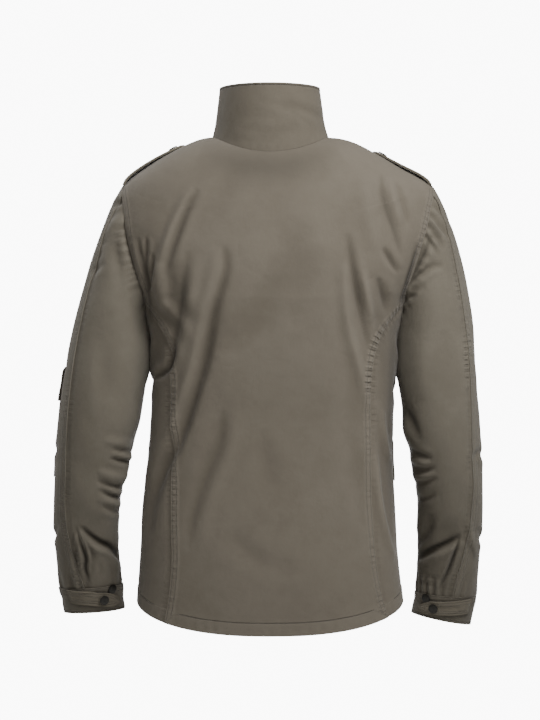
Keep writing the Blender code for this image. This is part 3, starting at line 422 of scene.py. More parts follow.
# Painted shade, seen from behind, along the slits of the vents, deep folds and seams, and soft shades: the path in mm,
# half its width and how dark it is (paler, a painted highlight, under 0).
armholeShadePaths = [
    ([(190, -150), (184, -190), (179, -225), (176, -262)], 2.8, 0.5),
    ([(-217, -140), (-209, -170), (-199, -205), (-192, -240)], 3.0, 0.85),
]
trunkShadePaths = armholeShadePaths + [
    ([(142, -290), (144, -314), (154, -331), (174, -340)], 2.6, 0.6),
    # the soft shade in the folds of both shoulders
    ([(-113, -130), (-117, -160), (-128, -225), (-146, -300)], 3.2, 0.35),
    ([(-156, -190), (-164, -217), (-174, -250)], 3.4, 0.35),
    ([(-163, -41), (-167, -82), (-182, -129), (-192, -162)], 3, 0.4),
    ([(-166, -150), (-176, -169), (-188, -188)], 2.8, 0.35),
    ([(104, -66), (124, -100), (145, -160), (154, -195)], 3.4, 0.25),
    ([(67, -152), (66, -190), (82, -246), (95, -308), (111, -367), (132, -430)], 3.6, 0.3),
    ([(126, -190), (131, -245), (142, -290)], 3.4, 0.3),
    # the soft shade beside the right arm, and under the collar
    ([(-150, -200), (-162, -262), (-172, -330), (-180, -450), (-184, -590)], 13, 0.25),
    ([(-188, -240), (-184, -300), (-182, -380), (-184, -460), (-188, -560)], 11, 0.6),
    ([(104, -6), (44, -26), (0, -32), (-44, -26), (-104, -6)], 24, 0.3),
]
leftSleeveShadePaths = armholeShadePaths + [
    ([(284, -560), (263, -579), (240, -594), (229, -608), (214, -634)], 2.6, 1.0),
    ([(279, -590), (275, -612), (277, -628), (270, -652)], 2.8, 0.95),
    ([(287, -560), (295, -592), (288, -640)], 2.0, 0.4),
    ([(281, -572), (266, -606), (268, -646)], 2.0, 0.35),
    ([(203, -468), (214, -466), (226, -462)], 2.4, 0.4),
    ([(211, -506), (230, -503), (246, -496)], 2.2, 0.35),
    ([(215, -524), (233, -519), (248, -509)], 2.2, 0.35),
    # paler, where it turns to the light
    ([(188, -220), (178, -262), (176, -300), (184, -350)], 11, -1.2),
]
rightSleeveShadePaths = armholeShadePaths + [
    ([(-286, -574), (-263, -588), (-238, -600), (-214, -622)], 2.8, 1.0),
    ([(-284, -578), (-275, -610), (-267, -632), (-254, -660)], 2.2, 0.9),
    ([(-292, -586), (-303, -598), (-309, -616)], 1.8, 0.35),
    ([(-200, -384), (-210, -402), (-220, -424)], 3.4, 0.5),
    ([(-208, -449), (-220, -455), (-234, -460)], 2.4, 0.4),
    ([(-230, -105), (-242, -118), (-254, -134)], 2.2, 0.4),
    ([(-224, -122), (-236, -138), (-246, -152)], 2.2, 0.4),
    ([(-203, -206), (-216, -190), (-232, -178)], 2.6, 0.6),
    ([(-203, -208), (-221, -168), (-240, -130)], 2.6, 0.5),
    # paler, where it turns to the light
    ([(-204, -236), (-198, -280), (-198, -330), (-204, -378)], 13, -1.1),
]

# The line inside each part of the jacket that its outer faces look away from.
trunkLine = [(0, 0, -0.70), (0, 0, -0.15)]
collarLine = [(0, 0, -0.10), (0, 0, 0.12)]
leftLine = [(0.20, 0, -0.15), (0.255, 0, -0.42), (0.27, -0.06, -0.71)]
rightLine = [(-x, y, z) for x, y, z in leftLine]


def work(toward, rows=(), lap=(0, 8), ripple=(0, 9, 12), heights=(-1000, 1000), strong=(-1000, 1000, 1), tuck=0):
    # what is sewn along one side of a piece, in mm: its rows of stitches, how far it laps over its neighbour and how
    # wide, its puckers' height, pitch and reach, the heights between which all this is, those between which its
    # puckers are strong, with their share elsewhere, and how far its edge is tucked under its neighbour
    return {"toward": toward, "rows": rows, "lap": lap, "ripple": ripple, "heights": heights, "strong": strong,
            "tuck": tuck}


hem = dict(rows=[19], lap=(0.7, 19), ripple=(0.25, 17, 22))
frontWork = {
    side: [
        work(toward, [2.2], ripple=(0.3, 10, 14), heights=(-1000, -215)),
        work(toward, [2.2, 8], lap=(0.6, 10), ripple=(0.35, 12, 14), heights=(-215, -60)),
        work(centre, [3, 12], lap=(0.5, 14), ripple=(0.25, 12, 14)),
        work(down, **hem),
    ]
    for side, toward, centre in (("left", left, right), ("right", right, left))
}
sideWork = [
    work(behind, lap=(-0.4, 6), ripple=(0.6, 10, 13), strong=(-400, -280, 0.3), tuck=1),
    work(before, lap=(-0.3, 6), ripple=(0.3, 10, 12)),
    work(down, **hem),
]
upperWork, underWork = {}, {}
for side, strong in (("left", (-660, -520, 0.35)), ("right", (-370, -200, 0.3))):
    upperWork[side] = [
        work(behind, [2.2, 9], (0.9, 11), (0.7, 11, 15), strong=strong),
        work(before, [2.2], (0.4, 6), (0.3, 11, 12)),
        work(up, lap=(-0.5, 1), ripple=(0.8, 13, 26), tuck=2),
        work(down, lap=(-1.3, 1), ripple=(1.1, 15, 30), tuck=4),
    ]
    underWork[side] = [
        work(behind, lap=(-0.5, 6), ripple=(0.6, 11, 12), strong=strong, tuck=1),
        work(before, lap=(-0.3, 6), ripple=(0.3, 11, 12), tuck=1),
        work(up, lap=(-0.5, 1), ripple=(0.8, 14, 24), tuck=2),
        work(down, lap=(-1.3, 1), ripple=(1.2, 14, 34), tuck=4),
    ]
strapWork = [work(side, [3.2], lap=(-0.5, 3.2)) for side in (up, down, left, right)]
tabWork = [work(side, [3.0, 6.5] if side in (up, down) else [3.0], lap=(-0.4, 3)) for side in (up, down, left, right)]
flapWork = [work(down, [2.5, 8.5], lap=(-0.4, 3))] + [work(s, [2.5], lap=(-0.4, 3)) for s in (up, left, right)]
pocketWork = [work(down, [2.5, 9], ripple=(0.3, 12, 12)), work(left, [2.5]), work(right, [2.5])]
cuffWork = [work(up, [2.4, 8.5], lap=(0.5, 10), ripple=(0.25, 13, 14)), work(down, [3.5], ripple=(0.2, 14, 10))]

# levels: how finely it is rounded out. rim: in a wall mitred at the armhole, its rim is known by edges this short (mm).
# flat: the cut's width and length in metres. area: the cut's own area in square metres.
clothPieces = {
    "back": {
        "middle": trunkLine, "rim": 2.7, "levels": 3, "creases": trunkCreases, "depth": 1.8, "shadePaths": trunkShadePaths,
        "wears": ["epaulette_left", "epaulette_right"], "flat": (0.49, 0.76), "area": 0.28,
        "edges": [
            work(left, [2.4, 9], (0.8, 11), (1.1, 10, 13), heights=(-1000, -225), strong=(-405, -320, 0.45)),
            work(right, [2.4, 9], (0.9, 11), (1.4, 10.5, 15), heights=(-1000, -225), strong=(-385, -240, 0.35)),
            work(left, [2.4, 9], lap=(0.7, 11), ripple=(0.3, 12, 14), heights=(-225, -60)),
            work(right, [2.4, 9], lap=(0.7, 11), ripple=(0.4, 11, 16), heights=(-225, -60)),
            work(down, **hem),
        ],
    },
    "collar": {
        "middle": collarLine, "rim": 3.2, "levels": 2, "creases": collarCreases, "depth": 1.2, "look": "collar",
        "flat": (0.5, 0.12), "area": 0.045,
        "edges": [work(up, [3.5], ripple=(0.25, 16, 10)), work(down, ripple=(0.2, 16, 12))],
    },
}
for side, line, creases, shadePaths in (
    ("left", leftLine, leftSleeveCreases, leftSleeveShadePaths), ("right", rightLine, rightSleeveCreases, rightSleeveShadePaths),
):
    body = {"middle": trunkLine, "rim": 2.3, "levels": 3, "creases": trunkCreases, "depth": 1.8, "shadePaths": trunkShadePaths}
    arm = {"middle": line, "rim": 2.7, "levels": 3, "creases": creases, "depth": 1.1, "shadePaths": shadePaths, "look": "sleeve"}
    patch = {"rim": 0, "levels": 3, "creases": trunkCreases, "middle": trunkLine, "thick": 2.7, "depth": 1.8}
    clothPieces |= {
        "front_" + side: body | {"flat": (0.27, 0.74), "area": 0.15, "edges": frontWork[side],
                                 "wears": [n + side for n in ("pocket_", "pocket_flap_", "epaulette_")]},
        "side_" + side: body | {"flat": (0.13, 0.55), "area": 0.06, "edges": sideWork},
        "sleeve_upper_" + side: arm | {"flat": (0.19, 0.66), "area": 0.086, "edges": upperWork[side]},
        "sleeve_under_" + side: arm | {"flat": (0.22, 0.58), "area": 0.097, "edges": underWork[side]},
        "cuff_" + side: arm | {"flat": (0.29, 0.045), "area": 0.012, "levels": 2, "rim": 3.2,
                                 "creases": cuffCreases, "edges": cuffWork, "wears": ["cuff_tab_" + side]},
        "cuff_tab_" + side: patch | {"middle": line, "flat": (0.08, 0.027), "area": 0.002, "creases": cuffCreases,
                                     "edges": tabWork, "look": "strap"},
        "epaulette_" + side: patch | {"flat": (0.05, 0.1), "area": 0.0046, "edges": strapWork, "look": "strap"},
        "pocket_" + side: patch | {"flat": (0.16, 0.18), "area": 0.0215, "edges": pocketWork},
        "pocket_flap_" + side: patch | {"flat": (0.16, 0.075), "area": 0.009, "edges": flapWork, "look": "strap"},
    }
armPatch = {"rim": 0, "levels": 3, "creases": leftSleeveCreases, "middle": leftLine, "thick": 2.7, "depth": 1.1}
for name in ("sleeve_upper_left", "sleeve_under_left"):
    clothPieces[name]["wears"] = ["sleeve_pocket", "sleeve_flap"]
for side in ("left", "right"):
    clothPieces["pocket_" + side]["wears"] = ["pocket_flap_" + side]
clothPieces |= {
    "sleeve_pocket": armPatch | {"flat": (0.12, 0.15), "area": 0.011, "edges": pocketWork},
    "sleeve_flap": armPatch | {"flat": (0.12, 0.06), "area": 0.0045, "edges": flapWork, "look": "strap"},
}
cloth = {"thick": 1.3, "settle": 4, "relax": 10, "sharp": 50, "cloudHeight": 0.35}


def only(obj):
    # selects one object alone and makes it active
    bpy.ops.object.select_all(action="DESELECT")
    obj.select_set(True)
    bpy.context.view_layer.objects.active = obj


def rowsOf(mesh, name="co"):
    flat = np.empty(len(mesh.vertices) * 3, np.float32)
    mesh.vertices.foreach_get(name, flat)
    return flat.reshape(-1, 3).astype(float)


def nearestOnLine(point, line):
    # the nearest point on a line of several points
    best = None
    for a, b in zip(line, line[1:]):
        a, b = Vector(a), Vector(b)
        t = min(max((point - a).dot(b - a) / (b - a).length_squared, 0), 1)
        found = a + (b - a) * t
        if best is None or (point - found).length < (point - best).length:
            best = found
    return best


def outerSheet(name, piece):
    # the outer face of a solid as an open sheet of quads
    shape = bmesh.new()
    shape.from_mesh(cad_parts[name].data)
    bmesh.ops.remove_doubles(shape, verts=shape.verts, dist=0.02 * mm)
    todo = set(shape.faces)
    if piece["rim"]:
        todo -= {face for face in shape.faces if any(e.calc_length() < piece["rim"] * mm for e in face.edges)}
    best, kept = 0, None
    for first in shape.faces:
        found = [first] if first in todo else []
        todo.discard(first)
        for face in found:
            for edge in face.edges:
                if not piece["rim"] and edge.calc_face_angle(0) > math.radians(cloth["sharp"]):
                    continue
                near = [other for other in edge.link_faces if other in todo]
                todo.difference_update(near)
                found += near
        outward = 0
        for face in found:
            place = face.calc_center_median()
            away = (place - nearestOnLine(place, piece["middle"])).normalized()
            outward += face.calc_area() * face.normal.dot(away)
        if outward > best:
            best, kept = outward, set(found)
    bmesh.ops.delete(shape, geom=[face for face in shape.faces if face not in kept], context="FACES")
    bmesh.ops.join_triangles(
        shape, faces=shape.faces, angle_face_threshold=math.pi, angle_shape_threshold=math.pi, topology_influence=1.5
    )
    mesh = bpy.data.meshes.new(name + "_cloth")
    shape.to_mesh(mesh)
    shape.free()
    sheet = bpy.data.objects.new(name + "_cloth", mesh)
    bpy.context.scene.collection.objects.link(sheet)
    return sheet


def roundOut(sheet, levels):
    # subdivides the sheet so that its smoothed surface still passes through the solid's corners
    target = rowsOf(sheet.data)
    cage = target.copy()
    smooth = sheet.modifiers.new("smooth", "SUBSURF")
    smooth.boundary_smooth = "PRESERVE_CORNERS"
    smooth.levels = smooth.render_levels = 1
    for _ in range(cloth["settle"]):
        bpy.context.view_layer.update()
        seen = sheet.evaluated_get(bpy.context.evaluated_depsgraph_get())
        cage += target - rowsOf(seen.data)[: len(target)]
        sheet.data.vertices.foreach_set("co", cage.astype(np.float32).ravel())
        sheet.data.update()
    smooth.levels = smooth.render_levels = levels
    only(sheet)
    bpy.ops.object.modifier_apply(modifier=smooth.name)
    # evens out the faces where two rows of the solid's corners lie close together
    mesh, points = sheet.data, rowsOf(sheet.data)
    ends = np.array([edge.vertices[:] for edge in mesh.edges])
    used = np.bincount([loop.edge_index for loop in mesh.loops], minlength=len(ends))
    rim = ends[used == 1].ravel()
    count = np.bincount(ends.ravel(), minlength=len(points))[:, None]
    for _ in range(cloth["relax"]):
        around = np.zeros_like(points)
        np.add.at(around, ends[:, 0], points[ends[:, 1]])
        np.add.at(around, ends[:, 1], points[ends[:, 0]])
        moved = (points + around / count) / 2
        moved[rim] = points[rim]
        points = moved
    mesh.vertices.foreach_set("co", points.astype(np.float32).ravel())
    mesh.update()


def uneven(points, size, seed):
    # a smooth random field from -1 to 1, its lumps about this large (mm)
    pick = np.random.default_rng(seed)
    field = 0
    for _ in range(7):
        way = pick.normal(size=3)
        way *= 2 * math.pi / (size * pick.uniform(0.8, 2.2)) / np.linalg.norm(way)
        field = field + np.sin(points / mm @ way + pick.uniform(0, 6.28))
    return field / 3.5


planes = {"behind": (0, 2, 1, 1), "before": (0, 2, 1, -1), "left": (1, 2, 0, 1), "right": (1, 2, 0, -1)}


def nearPath(points, normals, seen, path, reach):
    # the points near a smooth path on one side: which they are, how far from it, on which side of it, and how much of
    # its strength is left there
    a, b, facing, sign = planes[seen]
    knots = np.array(path, float)
    steps = np.linspace(0, len(knots) - 1, 5 * (len(knots) - 1) + 1)
    i = np.clip(steps.astype(int), 0, len(knots) - 2)
    t = (steps - i)[:, None]
    slope = np.gradient(knots, axis=0)
    line = (
        knots[i] * (1 + 2 * t) * (1 - t) ** 2 + slope[i] * t * (1 - t) ** 2
        + knots[i + 1] * (3 - 2 * t) * t**2 + slope[i + 1] * (t - 1) * t**2
    )
    flat = points[:, [a, b]] / mm
    near = np.all((flat > line.min(0) - reach) & (flat < line.max(0) + reach), axis=1)
    near &= normals[:, facing] * sign > -0.2
    flat = flat[near]
    away = np.full(len(flat), 1e9)
    signed, share = np.zeros(len(flat)), np.zeros(len(flat))
    steps = np.linalg.norm(np.diff(line, axis=0), axis=1)
    run = np.concatenate([[0], np.cumsum(steps)])
    for k, long in enumerate(steps):
        way = (line[k + 1] - line[k]) / long
        past = flat - line[k]
        along = np.clip(past @ way, 0, long)
        gap = past - along[:, None] * way
        distance = np.linalg.norm(gap, axis=1)
        closer = distance < away
        away = np.where(closer, distance, away)
        signed = np.where(closer, np.sign(way[0] * past[:, 1] - way[1] * past[:, 0]) * distance, signed)
        share = np.where(closer, (run[k] + along) / run[-1], share)
    fade = np.sin(np.pi * np.clip(share, 0.0, 1.0)) ** 0.6
    facingShare = np.clip((normals[near, facing] * sign + 0.2) / 0.45, 0, 1)
    return near, away, signed, fade, facingShare


def creaseLift(points, normals, seen, path, wide, deep, lean=0):
    # how far one crease moves each point out, in mm
    lift = np.zeros(len(points))
    near, away, signed, fade, facing = nearPath(points, normals, seen, path, 4 * wide)
    core = np.exp(-((away / (wide * (0.65 + 0.35 * fade))) ** 2))
    lips = [np.exp(-(((signed - s * 2 * wide) / (1.1 * wide)) ** 2)) * (0.3 + 0.6 * s * lean) for s in (-1, 1)]
    lift[near] = deep * (lips[0] + lips[1] - core) * fade * facing
    return lift


def pathShade(points, normals, path, wide, dark):
    # how dark the painted shade along one path makes each point
    shade = np.zeros(len(points))
    near, away, _, fade, facing = nearPath(points, normals, "behind", path, 3 * wide)
    shade[near] = dark * np.exp(-((away / wide) ** 2)) * fade * facing
    return shade


contact = {"reach": 6, "soft": 2.6, "dark": 0.75}


def shadeUnder(points, nodes):
    # soft contact shade round what is sewn on top
    shade = np.zeros(len(points))
    for node in nodes:
        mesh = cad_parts[node].data
        tree = BVHTree.FromPolygons([v.co for v in mesh.vertices], [list(face.vertices) for face in mesh.polygons])
        for k, point in enumerate(points):
            gap = tree.find_nearest(point, contact["reach"] * mm)[3]
            if gap is not None:
                shade[k] = max(shade[k], contact["dark"] * math.exp(-((gap / mm / contact["soft"]) ** 2)))
    return shade


def sidesOf(sheet):
    # the sheet's edges between its corners: lists of points, each with the way inwards
    shape = bmesh.new()
    shape.from_mesh(sheet.data)
    shape.normal_update()
    edges = [edge for edge in shape.edges if edge.is_boundary]
    sides = []
    while edges:
        corners = [v for edge in edges for v in edge.verts if len(v.link_faces) == 1]
        vertex = corners[0] if corners else next(iter(edges)).verts[0]
        chain = [vertex]
        while True:
            onward = [edge for edge in vertex.link_edges if edge in edges]
            if not onward:
                break
            edges.remove(onward[0])
            vertex = onward[0].other_vert(vertex)
            chain.append(vertex)
            if len(vertex.link_faces) == 1:
                break
        inward = []
        for v in chain:
            inner = [e.other_vert(v).co - v.co for e in v.link_edges if not e.is_boundary]
            inward.append(inner[0].normalized() if inner else None)
        if inward[0] is None:
            inward[0] = inward[1]
        if inward[-1] is None:
            inward[-1] = inward[-2]
        sides.append((np.array([v.co for v in chain]), np.array(inward), [v.index for v in chain]))
    shape.free()
    return sides


def sideToward(sides, way):
    return max(sides, key=lambda side: float(side[0].mean(0) @ np.array(way)))


def window(value, low, high, soft):
    return np.clip((value - low) / soft, 0, 1) * np.clip((high - value) / soft, 0, 1)


# Along a seam: the step (mm) at which it is followed, how far its puckers drift, in pitches, the least and most they
# swell, the lengths in pitches over which they do, the pitch (mm) from which the sheet's own faces carry them, and what
# is then left to the material.
gather = {
    "step": 0.5, "drift": 0.8, "driftOver": 5, "swell": (0.06, 1.2), "swellOver": 4, "carried": 12.5, "left": 0.15,
}


def edgeLift(points, side, task, seed):
    # the lap along one side in mm, the height (mm) and phase of its puckers, and how far in each point lies
    line = side[0]
    marks = np.concatenate([[0], np.cumsum(np.linalg.norm(np.diff(line, axis=0), axis=1))])
    fine = np.arange(0, marks[-1], gather["step"] * mm)
    tree = KDTree(len(fine))
    for k, at in enumerate(fine):
        tree.insert([float(np.interp(at, marks, line[:, axis])) for axis in range(3)], k)
    tree.balance()
    found = [tree.find(place)[1:] for place in points]
    run = fine[[k for k, _ in found]] / mm
    away = np.array([gap for _, gap in found]) / mm
    high, pitch, reach = task["ripple"]
    lap, wide = task["lap"]
    line = np.stack([run, 0 * run, 0 * run], 1) * mm
    drift = run + gather["drift"] * pitch * uneven(line, gather["driftOver"] * pitch, seed)
    swell = np.clip(0.55 + 0.75 * uneven(line, gather["swellOver"] * pitch, seed + 1), *gather["swell"])
    low, top, rest = task["strong"]
    swell *= rest + (1 - rest) * window(points[:, 2] / mm, low - 20, top + 20, 40)
    shape = np.clip(away / 3, 0.25, 1) * np.clip((reach - away) / (0.6 * reach), 0, 1)
    lift = lap * np.clip((wide + 2.5 - away) / 2.5, 0, 1)
    height, phase = high * swell * shape, 2 * math.pi * drift / pitch
    if pitch > gather["carried"]:
        lift = lift + height * np.sin(phase)
        height = height * gather["left"]
    seen = window(points[:, 2] / mm, *task["heights"], 8)
    return lift * seen, height * seen, phase, np.where(seen > 0, away, 99)


def giveUv(sheet, line):
    # a map in metres: round the piece, and down it
    points = rowsOf(sheet.data)
    middle = np.array([nearestOnLine(Vector(p), line) for p in points])
    away = points - middle
    radius = float(np.mean(np.linalg.norm(away[:, :2], axis=1)))
    turn = np.arctan2(away[:, 0], away[:, 1])
    across, along = turn * radius, points[:, 2]
    layer = sheet.data.uv_layers.new(name="cloth")
    corner = np.empty(len(sheet.data.loops), np.int32)
    sheet.data.loops.foreach_get("vertex_index", corner)
    # no face runs backwards across the seam of the turn
    grid = np.stack([across[corner], along[corner]], 1).reshape(-1, 4, 2)
    wrap = 2 * math.pi * radius
    grid[..., 0] += np.where(grid[..., :1, 0] - grid[..., 0] > wrap / 2, wrap, 0)
    grid[..., 0] -= np.where(grid[..., 0] - grid[..., :1, 0] > wrap / 2, wrap, 0)
    layer.data.foreach_set("uv", grid.astype(np.float32).ravel())


def takeShape(obj):
    # the points and faces of a small shape that is copied many times
    points, faces = rowsOf(obj.data), [list(face.vertices) for face in obj.data.polygons]
    bpy.data.objects.remove(obj)
    return points, faces


stitchLook = {"long": 2.7, "gap": 0.9, "wide": 0.62, "tall": 0.42, "proud": 0.08}


def modelStitch():
    bpy.ops.object.select_all(action="DESELECT")
    bpy.ops.mesh.primitive_uv_sphere_add(segments=5, ring_count=4, radius=0.5, location=(0, 0, 0))
    stitch = bpy.context.object
    stitch.rotation_euler = (0, math.radians(90), 0)
    bpy.ops.object.transform_apply(location=False, rotation=True, scale=False)
    stitch.scale = (stitchLook["long"] * mm, stitchLook["wide"] * mm, stitchLook["tall"] * mm)
    bpy.ops.object.transform_apply(location=False, rotation=False, scale=True)
    return takeShape(stitch)


stitchShape = modelStitch()


def stitchRow(surface, side, row, heights):
    # the places of the stitches of one row, this far (mm) inside a side of a sheet
    line, inward, _ = side
    path = line + inward * row * mm
    run = np.concatenate([[0], np.cumsum(np.linalg.norm(np.diff(path, axis=0), axis=1))])
    pitch = (stitchLook["long"] + stitchLook["gap"]) * mm
    margin = row * mm if row < 10 else 0.001
    places = np.arange(margin + pitch / 2, run[-1] - margin, pitch)
    made = []
    for at in places:
        ends = []
        for end in (at - pitch * 0.3, at + pitch * 0.3):
            spot = Vector([float(np.interp(end, run, path[:, k])) for k in range(3)])
            ends.append(surface.find_nearest(spot))
        (a, out, _, _), (b, _, _, _) = ends
        if (b - a).length < pitch * 0.2:
            continue
        middle = (a + b) / 2
        if not heights[0] < middle.z / mm < heights[1]:
            continue
        along = (b - a).normalized()
        across = out.cross(along).normalized()
        made.append((middle + out * stitchLook["proud"] * mm, along, across, along.cross(across)))
    return made


def joinCopies(name, points, faces, places, look):
    # one mesh from many copies of a small shape, each at its place and turned to its own axes
    spots = np.array([[*spot, *x, *y, *z] for spot, x, y, z in places]).reshape(-1, 4, 3)
    made = spots[:, None, 0] + np.einsum("vk,nkd->nvd", points, spots[:, 1:])
    count = len(points)
    mesh = bpy.data.meshes.new(name)
    mesh.from_pydata(
        made.reshape(-1, 3).tolist(), [],
        [[v + count * k for v in face] for k in range(len(places)) for face in faces],
    )
    mesh.shade_smooth()
    mesh.materials.append(look)
    obj = bpy.data.objects.new(name, mesh)
    bpy.context.scene.collection.objects.link(obj)
    return obj


def makeCloth(name, piece, seed):
    sheet = outerSheet(name, piece)
    roundOut(sheet, piece["levels"])
    giveUv(sheet, piece["middle"])
    points, normals = rowsOf(sheet.data), rowsOf(sheet.data, "normal")
    sides = sidesOf(sheet)
    folds = cloth["cloudHeight"] * uneven(points, 55, 7)
    for seen, creases in piece["creases"].items():
        for crease in creases:
            folds += piece["depth"] * creaseLift(points, normals, seen, *crease)
    sewn, pucker, phase = (np.zeros(len(points)) for _ in range(3))
    # painted shade: soft contact shade round what is sewn on top, and the shade paths, whose paler ones are a painted
    # highlight
    paintedShade = shadeUnder(points, piece.get("wears", ()))
    for oneShade in piece.get("shadePaths", ()):
        shade = pathShade(points, normals, *oneShade)
        paintedShade = np.where(abs(shade) > abs(paintedShade), shade, paintedShade)
    nearest, second, rowIn, rowOut = (np.full(len(points), 99.0) for _ in range(4))
    for k, task in enumerate(piece["edges"]):
        lift, height, turn, away = edgeLift(points, sideToward(sides, task["toward"]), task, seed * 10 + k)
        sewn += lift
        closer = away < nearest
        second = np.where(closer, nearest, np.minimum(second, away))
        nearest = np.where(closer, away, nearest)
        phase, pucker = np.where(closer, turn, phase), np.where(closer, height, pucker)
        rows = task["rows"] or [-99]
        rowIn = np.where(closer, away - rows[0], rowIn)
        rowOut = np.where(closer, away - rows[-1], rowOut)
    # where two sides meet, neither is drawn
    share = np.clip((second - nearest) / 4, 0, 1)
    points += normals * ((folds + sewn) * mm)[:, None]
    for task in piece["edges"]:
        if task["tuck"]:
            _, inward, index = sideToward(sides, task["toward"])
            points[index] -= inward * task["tuck"] * mm
    sheet.data.vertices.foreach_set("co", points.astype(np.float32).ravel())
    sheet.data.update()
    # how far each point stands out: ridges are painted paler for their wear and a painted highlight, and hollows darker
    # as painted shade
    wearAndFoldShade = np.clip(folds * 0.16 + sewn * 0.55, -1, 1)
    fields = {
        "wearAndFoldShade": wearAndFoldShade, "pucker": pucker * share, "phase": phase, "rowIn": rowIn, "rowOut": rowOut, "share": share,
        "paintedShade": paintedShade,
    }
    for title, values in fields.items():
        layer = sheet.data.attributes.new(title, "FLOAT", "POINT")
        layer.data.foreach_set("value", values.astype(np.float32))

    surface = BVHTree.FromPolygons(
        [Vector(p) for p in points], [list(face.vertices) for face in sheet.data.polygons]
    )
    stitches = []
    for task in piece["edges"]:
        line, inward, index = sideToward(sides, task["toward"])
        for row in task["rows"]:
            stitches += stitchRow(surface, (points[index], inward, index), row, task["heights"])
    if stitches:
        sewing = joinCopies(name + "_stitches", *stitchShape, stitches, looks["thread"])
        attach(sewing, "jacket")

    wall = sheet.modifiers.new("thickness", "SOLIDIFY")
    wall.thickness, wall.offset = piece.get("thick", cloth["thick"]) * mm, -1
    only(sheet)
    bpy.ops.object.modifier_apply(modifier=wall.name)
    bpy.ops.object.shade_smooth_by_angle(angle=math.radians(45))
    sheet.data.materials.append(looks[piece.get("look", "twill")])
    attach(sheet, "jacket")
    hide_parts(name)
    area = sum(face.area for face in sheet.data.polygons) / 2
    print(f"  {name}: {len(sheet.data.polygons) * 2} triangles, {len(stitches)} stitches, {area:.4f} m2")
    return sheet


for seed, (name, piece) in enumerate(clothPieces.items()):
    makeCloth(name, piece, seed)
print("cloth cut and sewn")

# snaps: one cap, modelled once
# steps: how far in each next ring lies and how far it rises, in mm: a rolled rim, a groove inside it, then the dome
snap = {
    "radius": 7.2, "rim": 1.15, "soften": 0.22,
    "steps": ((0.72, 0.35), (0.72, 0), (0.43, -0.55), (0.43, 0.05), (1.3, 0.75), (1.58, 0.4), (1.3, 0.12)),
}


def modelSnap():
    bpy.ops.object.select_all(action="DESELECT")
    bpy.ops.mesh.primitive_cylinder_add(
        vertices=40, radius=snap["radius"] * mm, depth=snap["rim"] * mm, location=(0, 0, snap["rim"] * mm / 2)
    )
    cap = bpy.context.object
    for face in cap.data.polygons:
        face.select = face.normal.z > 0.9
    bpy.ops.object.mode_set(mode="EDIT")
    bpy.ops.mesh.select_mode(type="FACE")
    for inward, rise in snap["steps"]:
        bpy.ops.mesh.inset(thickness=inward * mm)
        bpy.ops.transform.translate(value=(0, 0, rise * mm))
    bpy.ops.object.mode_set(mode="OBJECT")
    bevel = cap.modifiers.new("soften", "BEVEL")
    bevel.width, bevel.segments, bevel.angle_limit = snap["soften"] * mm, 2, math.radians(30)
    bpy.ops.object.modifier_apply(modifier=bevel.name)
    bpy.ops.object.shade_smooth_by_angle(angle=math.radians(40))
    return cap


def placeOf(node, line):
    # middle of a CAD snap's foot, and the way it faces
    points = rowsOf(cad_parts[node].data)
    points = np.unique(np.round(points, 6), axis=0)
    middle = points.mean(0)
    out = Vector(np.linalg.svd(points - middle)[2][2])
    if out.dot(Vector(middle) - nearestOnLine(Vector(middle), line)) < 0:
        out.negate()
    foot = min(float((p - middle) @ np.array(out)) for p in points)
    return Vector(middle) + out * foot, out


cap = modelSnap()
for name in [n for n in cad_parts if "snap" in n]:
    line = trunkLine
    if name.startswith(("cuff", "sleeve")):
        line = rightLine if name.endswith("right") else leftLine
    foot, out = placeOf(name, line)
    copy = bpy.data.objects.new(name + "_cap", cap.data.copy())
    bpy.context.scene.collection.objects.link(copy)
    copy.data.transform(Matrix.Translation(foot) @ out.to_track_quat("Z", "Y").to_matrix().to_4x4())
    copy.data.materials.append(looks["enamel"])
    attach(copy, "jacket")
    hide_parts(name)
bpy.data.objects.remove(cap)
print("snaps pressed in")

zipTeeth = {"pitch": 2.2, "wide": 3.6, "tall": 1.15, "deep": 1.5, "apart": 0.9}


def modelTooth():
    bpy.ops.object.select_all(action="DESELECT")
    bpy.ops.mesh.primitive_cube_add(size=1, location=(0, 0, 0))
    tooth = bpy.context.object
    tooth.scale = (zipTeeth["wide"] * mm, zipTeeth["tall"] * mm, zipTeeth["deep"] * mm)
    bpy.ops.object.transform_apply(location=False, rotation=False, scale=True)
    bevel = tooth.modifiers.new("soften", "BEVEL")
    bevel.width, bevel.segments = 0.3 * mm, 1
    bpy.ops.object.modifier_apply(modifier=bevel.name)
    return takeShape(tooth)


def makeTeeth():
    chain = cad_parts["zip"]
    surface = BVHTree.FromPolygons([v.co for v in chain.data.vertices], [list(f.vertices) for f in chain.data.polygons])
    low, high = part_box("zip")
    places, height, row = [], high.z - 1.5 * mm, 0
    while height > low.z + 1.5 * mm:
        hit, out, _, _ = surface.ray_cast(Vector((0, -1, height)), Vector((0, 1, 0)))
        if hit:
            across = Vector((1, 0, 0))
            shift = across * zipTeeth["apart"] * mm * (1 if row % 2 else -1)
            out = Vector((0, out.y, out.z)).normalized()
            places.append((hit + shift + out * 0.35 * mm, across, out.cross(across), out))
            height -= zipTeeth["pitch"] * mm * max(abs(out.y), 0.3)
        else:
            height -= 1 * mm
        row += 1
    teeth = joinCopies("zip_teeth", *modelTooth(), places, looks["teeth"])
    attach(teeth, "jacket")
    return len(places)


print("zip teeth:", makeTeeth())
for node, look in (("zip", "tape"), ("zip_slider", "metal"), ("zip_pull", "metal")):
    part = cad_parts[node]
    part.data.materials.clear()
    part.data.materials.append(looks[look])
for node in ("zip_slider", "zip_pull"):
    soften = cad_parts[node].modifiers.new("soften", "BEVEL")
    soften.width, soften.segments = 0.3 * mm, 2

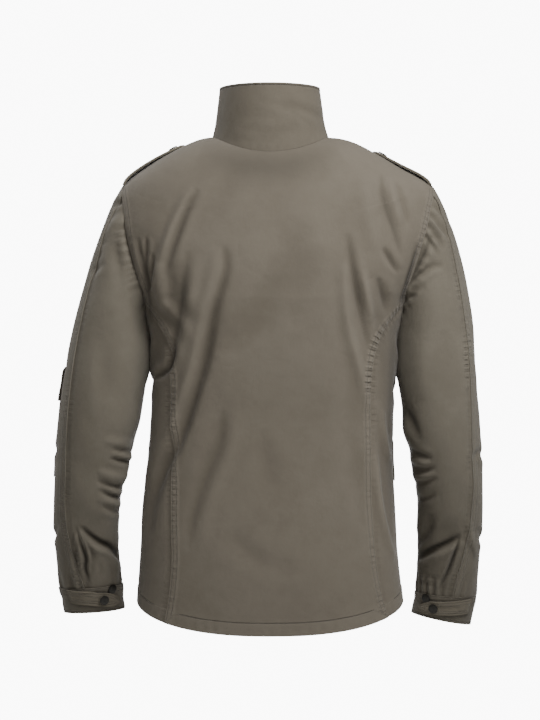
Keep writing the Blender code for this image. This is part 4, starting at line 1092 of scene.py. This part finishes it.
stage = {"floor": -1.5, "radius": 3.3, "pale": (0.82, 0.82, 0.81)}
bpy.ops.object.select_all(action="DESELECT")
bpy.ops.mesh.primitive_circle_add(
    vertices=128, radius=stage["radius"], fill_type="NGON", location=(0, 0, stage["floor"])
)
floor = bpy.context.object
floor.name = "floor"
floorPaint = Paint("paleFloor", Roughness=0.9, Base_Color=(*stage["pale"], 1))
floor.data.materials.append(floorPaint.material)

studio = {"dim": 0.17, "bright": 10.0, "from": 0.90, "to": 0.972}  # bright only straight behind the jacket
world = bpy.data.worlds.new("studio")
bpy.context.scene.world = world
world.use_nodes = True
sky = Nodes(world.node_tree)
toward = sky.node("TexCoord", {}, {}, out=0)
ahead = sky.node("VectorMath", {"operation": "DOT_PRODUCT"}, {0: toward, 1: (0, -1, 0)}, out=1)
glow = sky.node("MapRange", {"interpolation_type": "SMOOTHSTEP"}, {0: ahead, 1: studio["from"], 2: studio["to"]})
backdrop = world.node_tree.nodes["Background"]
backdrop.inputs["Color"].default_value = (1, 1, 1, 1)
shine = glow * (studio["bright"] - studio["dim"]) + studio["dim"]
world.node_tree.links.new(shine.socket, backdrop.inputs["Strength"])

lamps = {
    "key": {"at": (-0.9, 1.4, 1.3), "size": 1.1, "power": 69},
    "fill": {"at": (1.5, 2.6, 1.2), "size": 1.8, "power": 9},
    "front": {"at": (2.2, -1.5, 1.3), "size": 1.4, "power": 55},
}
for name, lamp in lamps.items():
    bpy.ops.object.light_add(type="AREA", location=lamp["at"])
    light = bpy.context.object
    light.name = name
    light.data.size, light.data.energy = lamp["size"], lamp["power"]
    light.rotation_euler = (Vector((0, 0, -0.3)) - Vector(lamp["at"])).to_track_quat("-Z", "Y").to_euler()

cameraAt = {"away": 3.0, "height": -0.315, "lens": 100, "sensor": 36}
bpy.ops.object.camera_add(
    location=(0, cameraAt["away"], cameraAt["height"]), rotation=(math.radians(90), 0, math.radians(180))
)
camera = bpy.context.object
camera.data.lens, camera.data.sensor_width = cameraAt["lens"], cameraAt["sensor"]
bpy.context.scene.camera = camera
print("stage set")
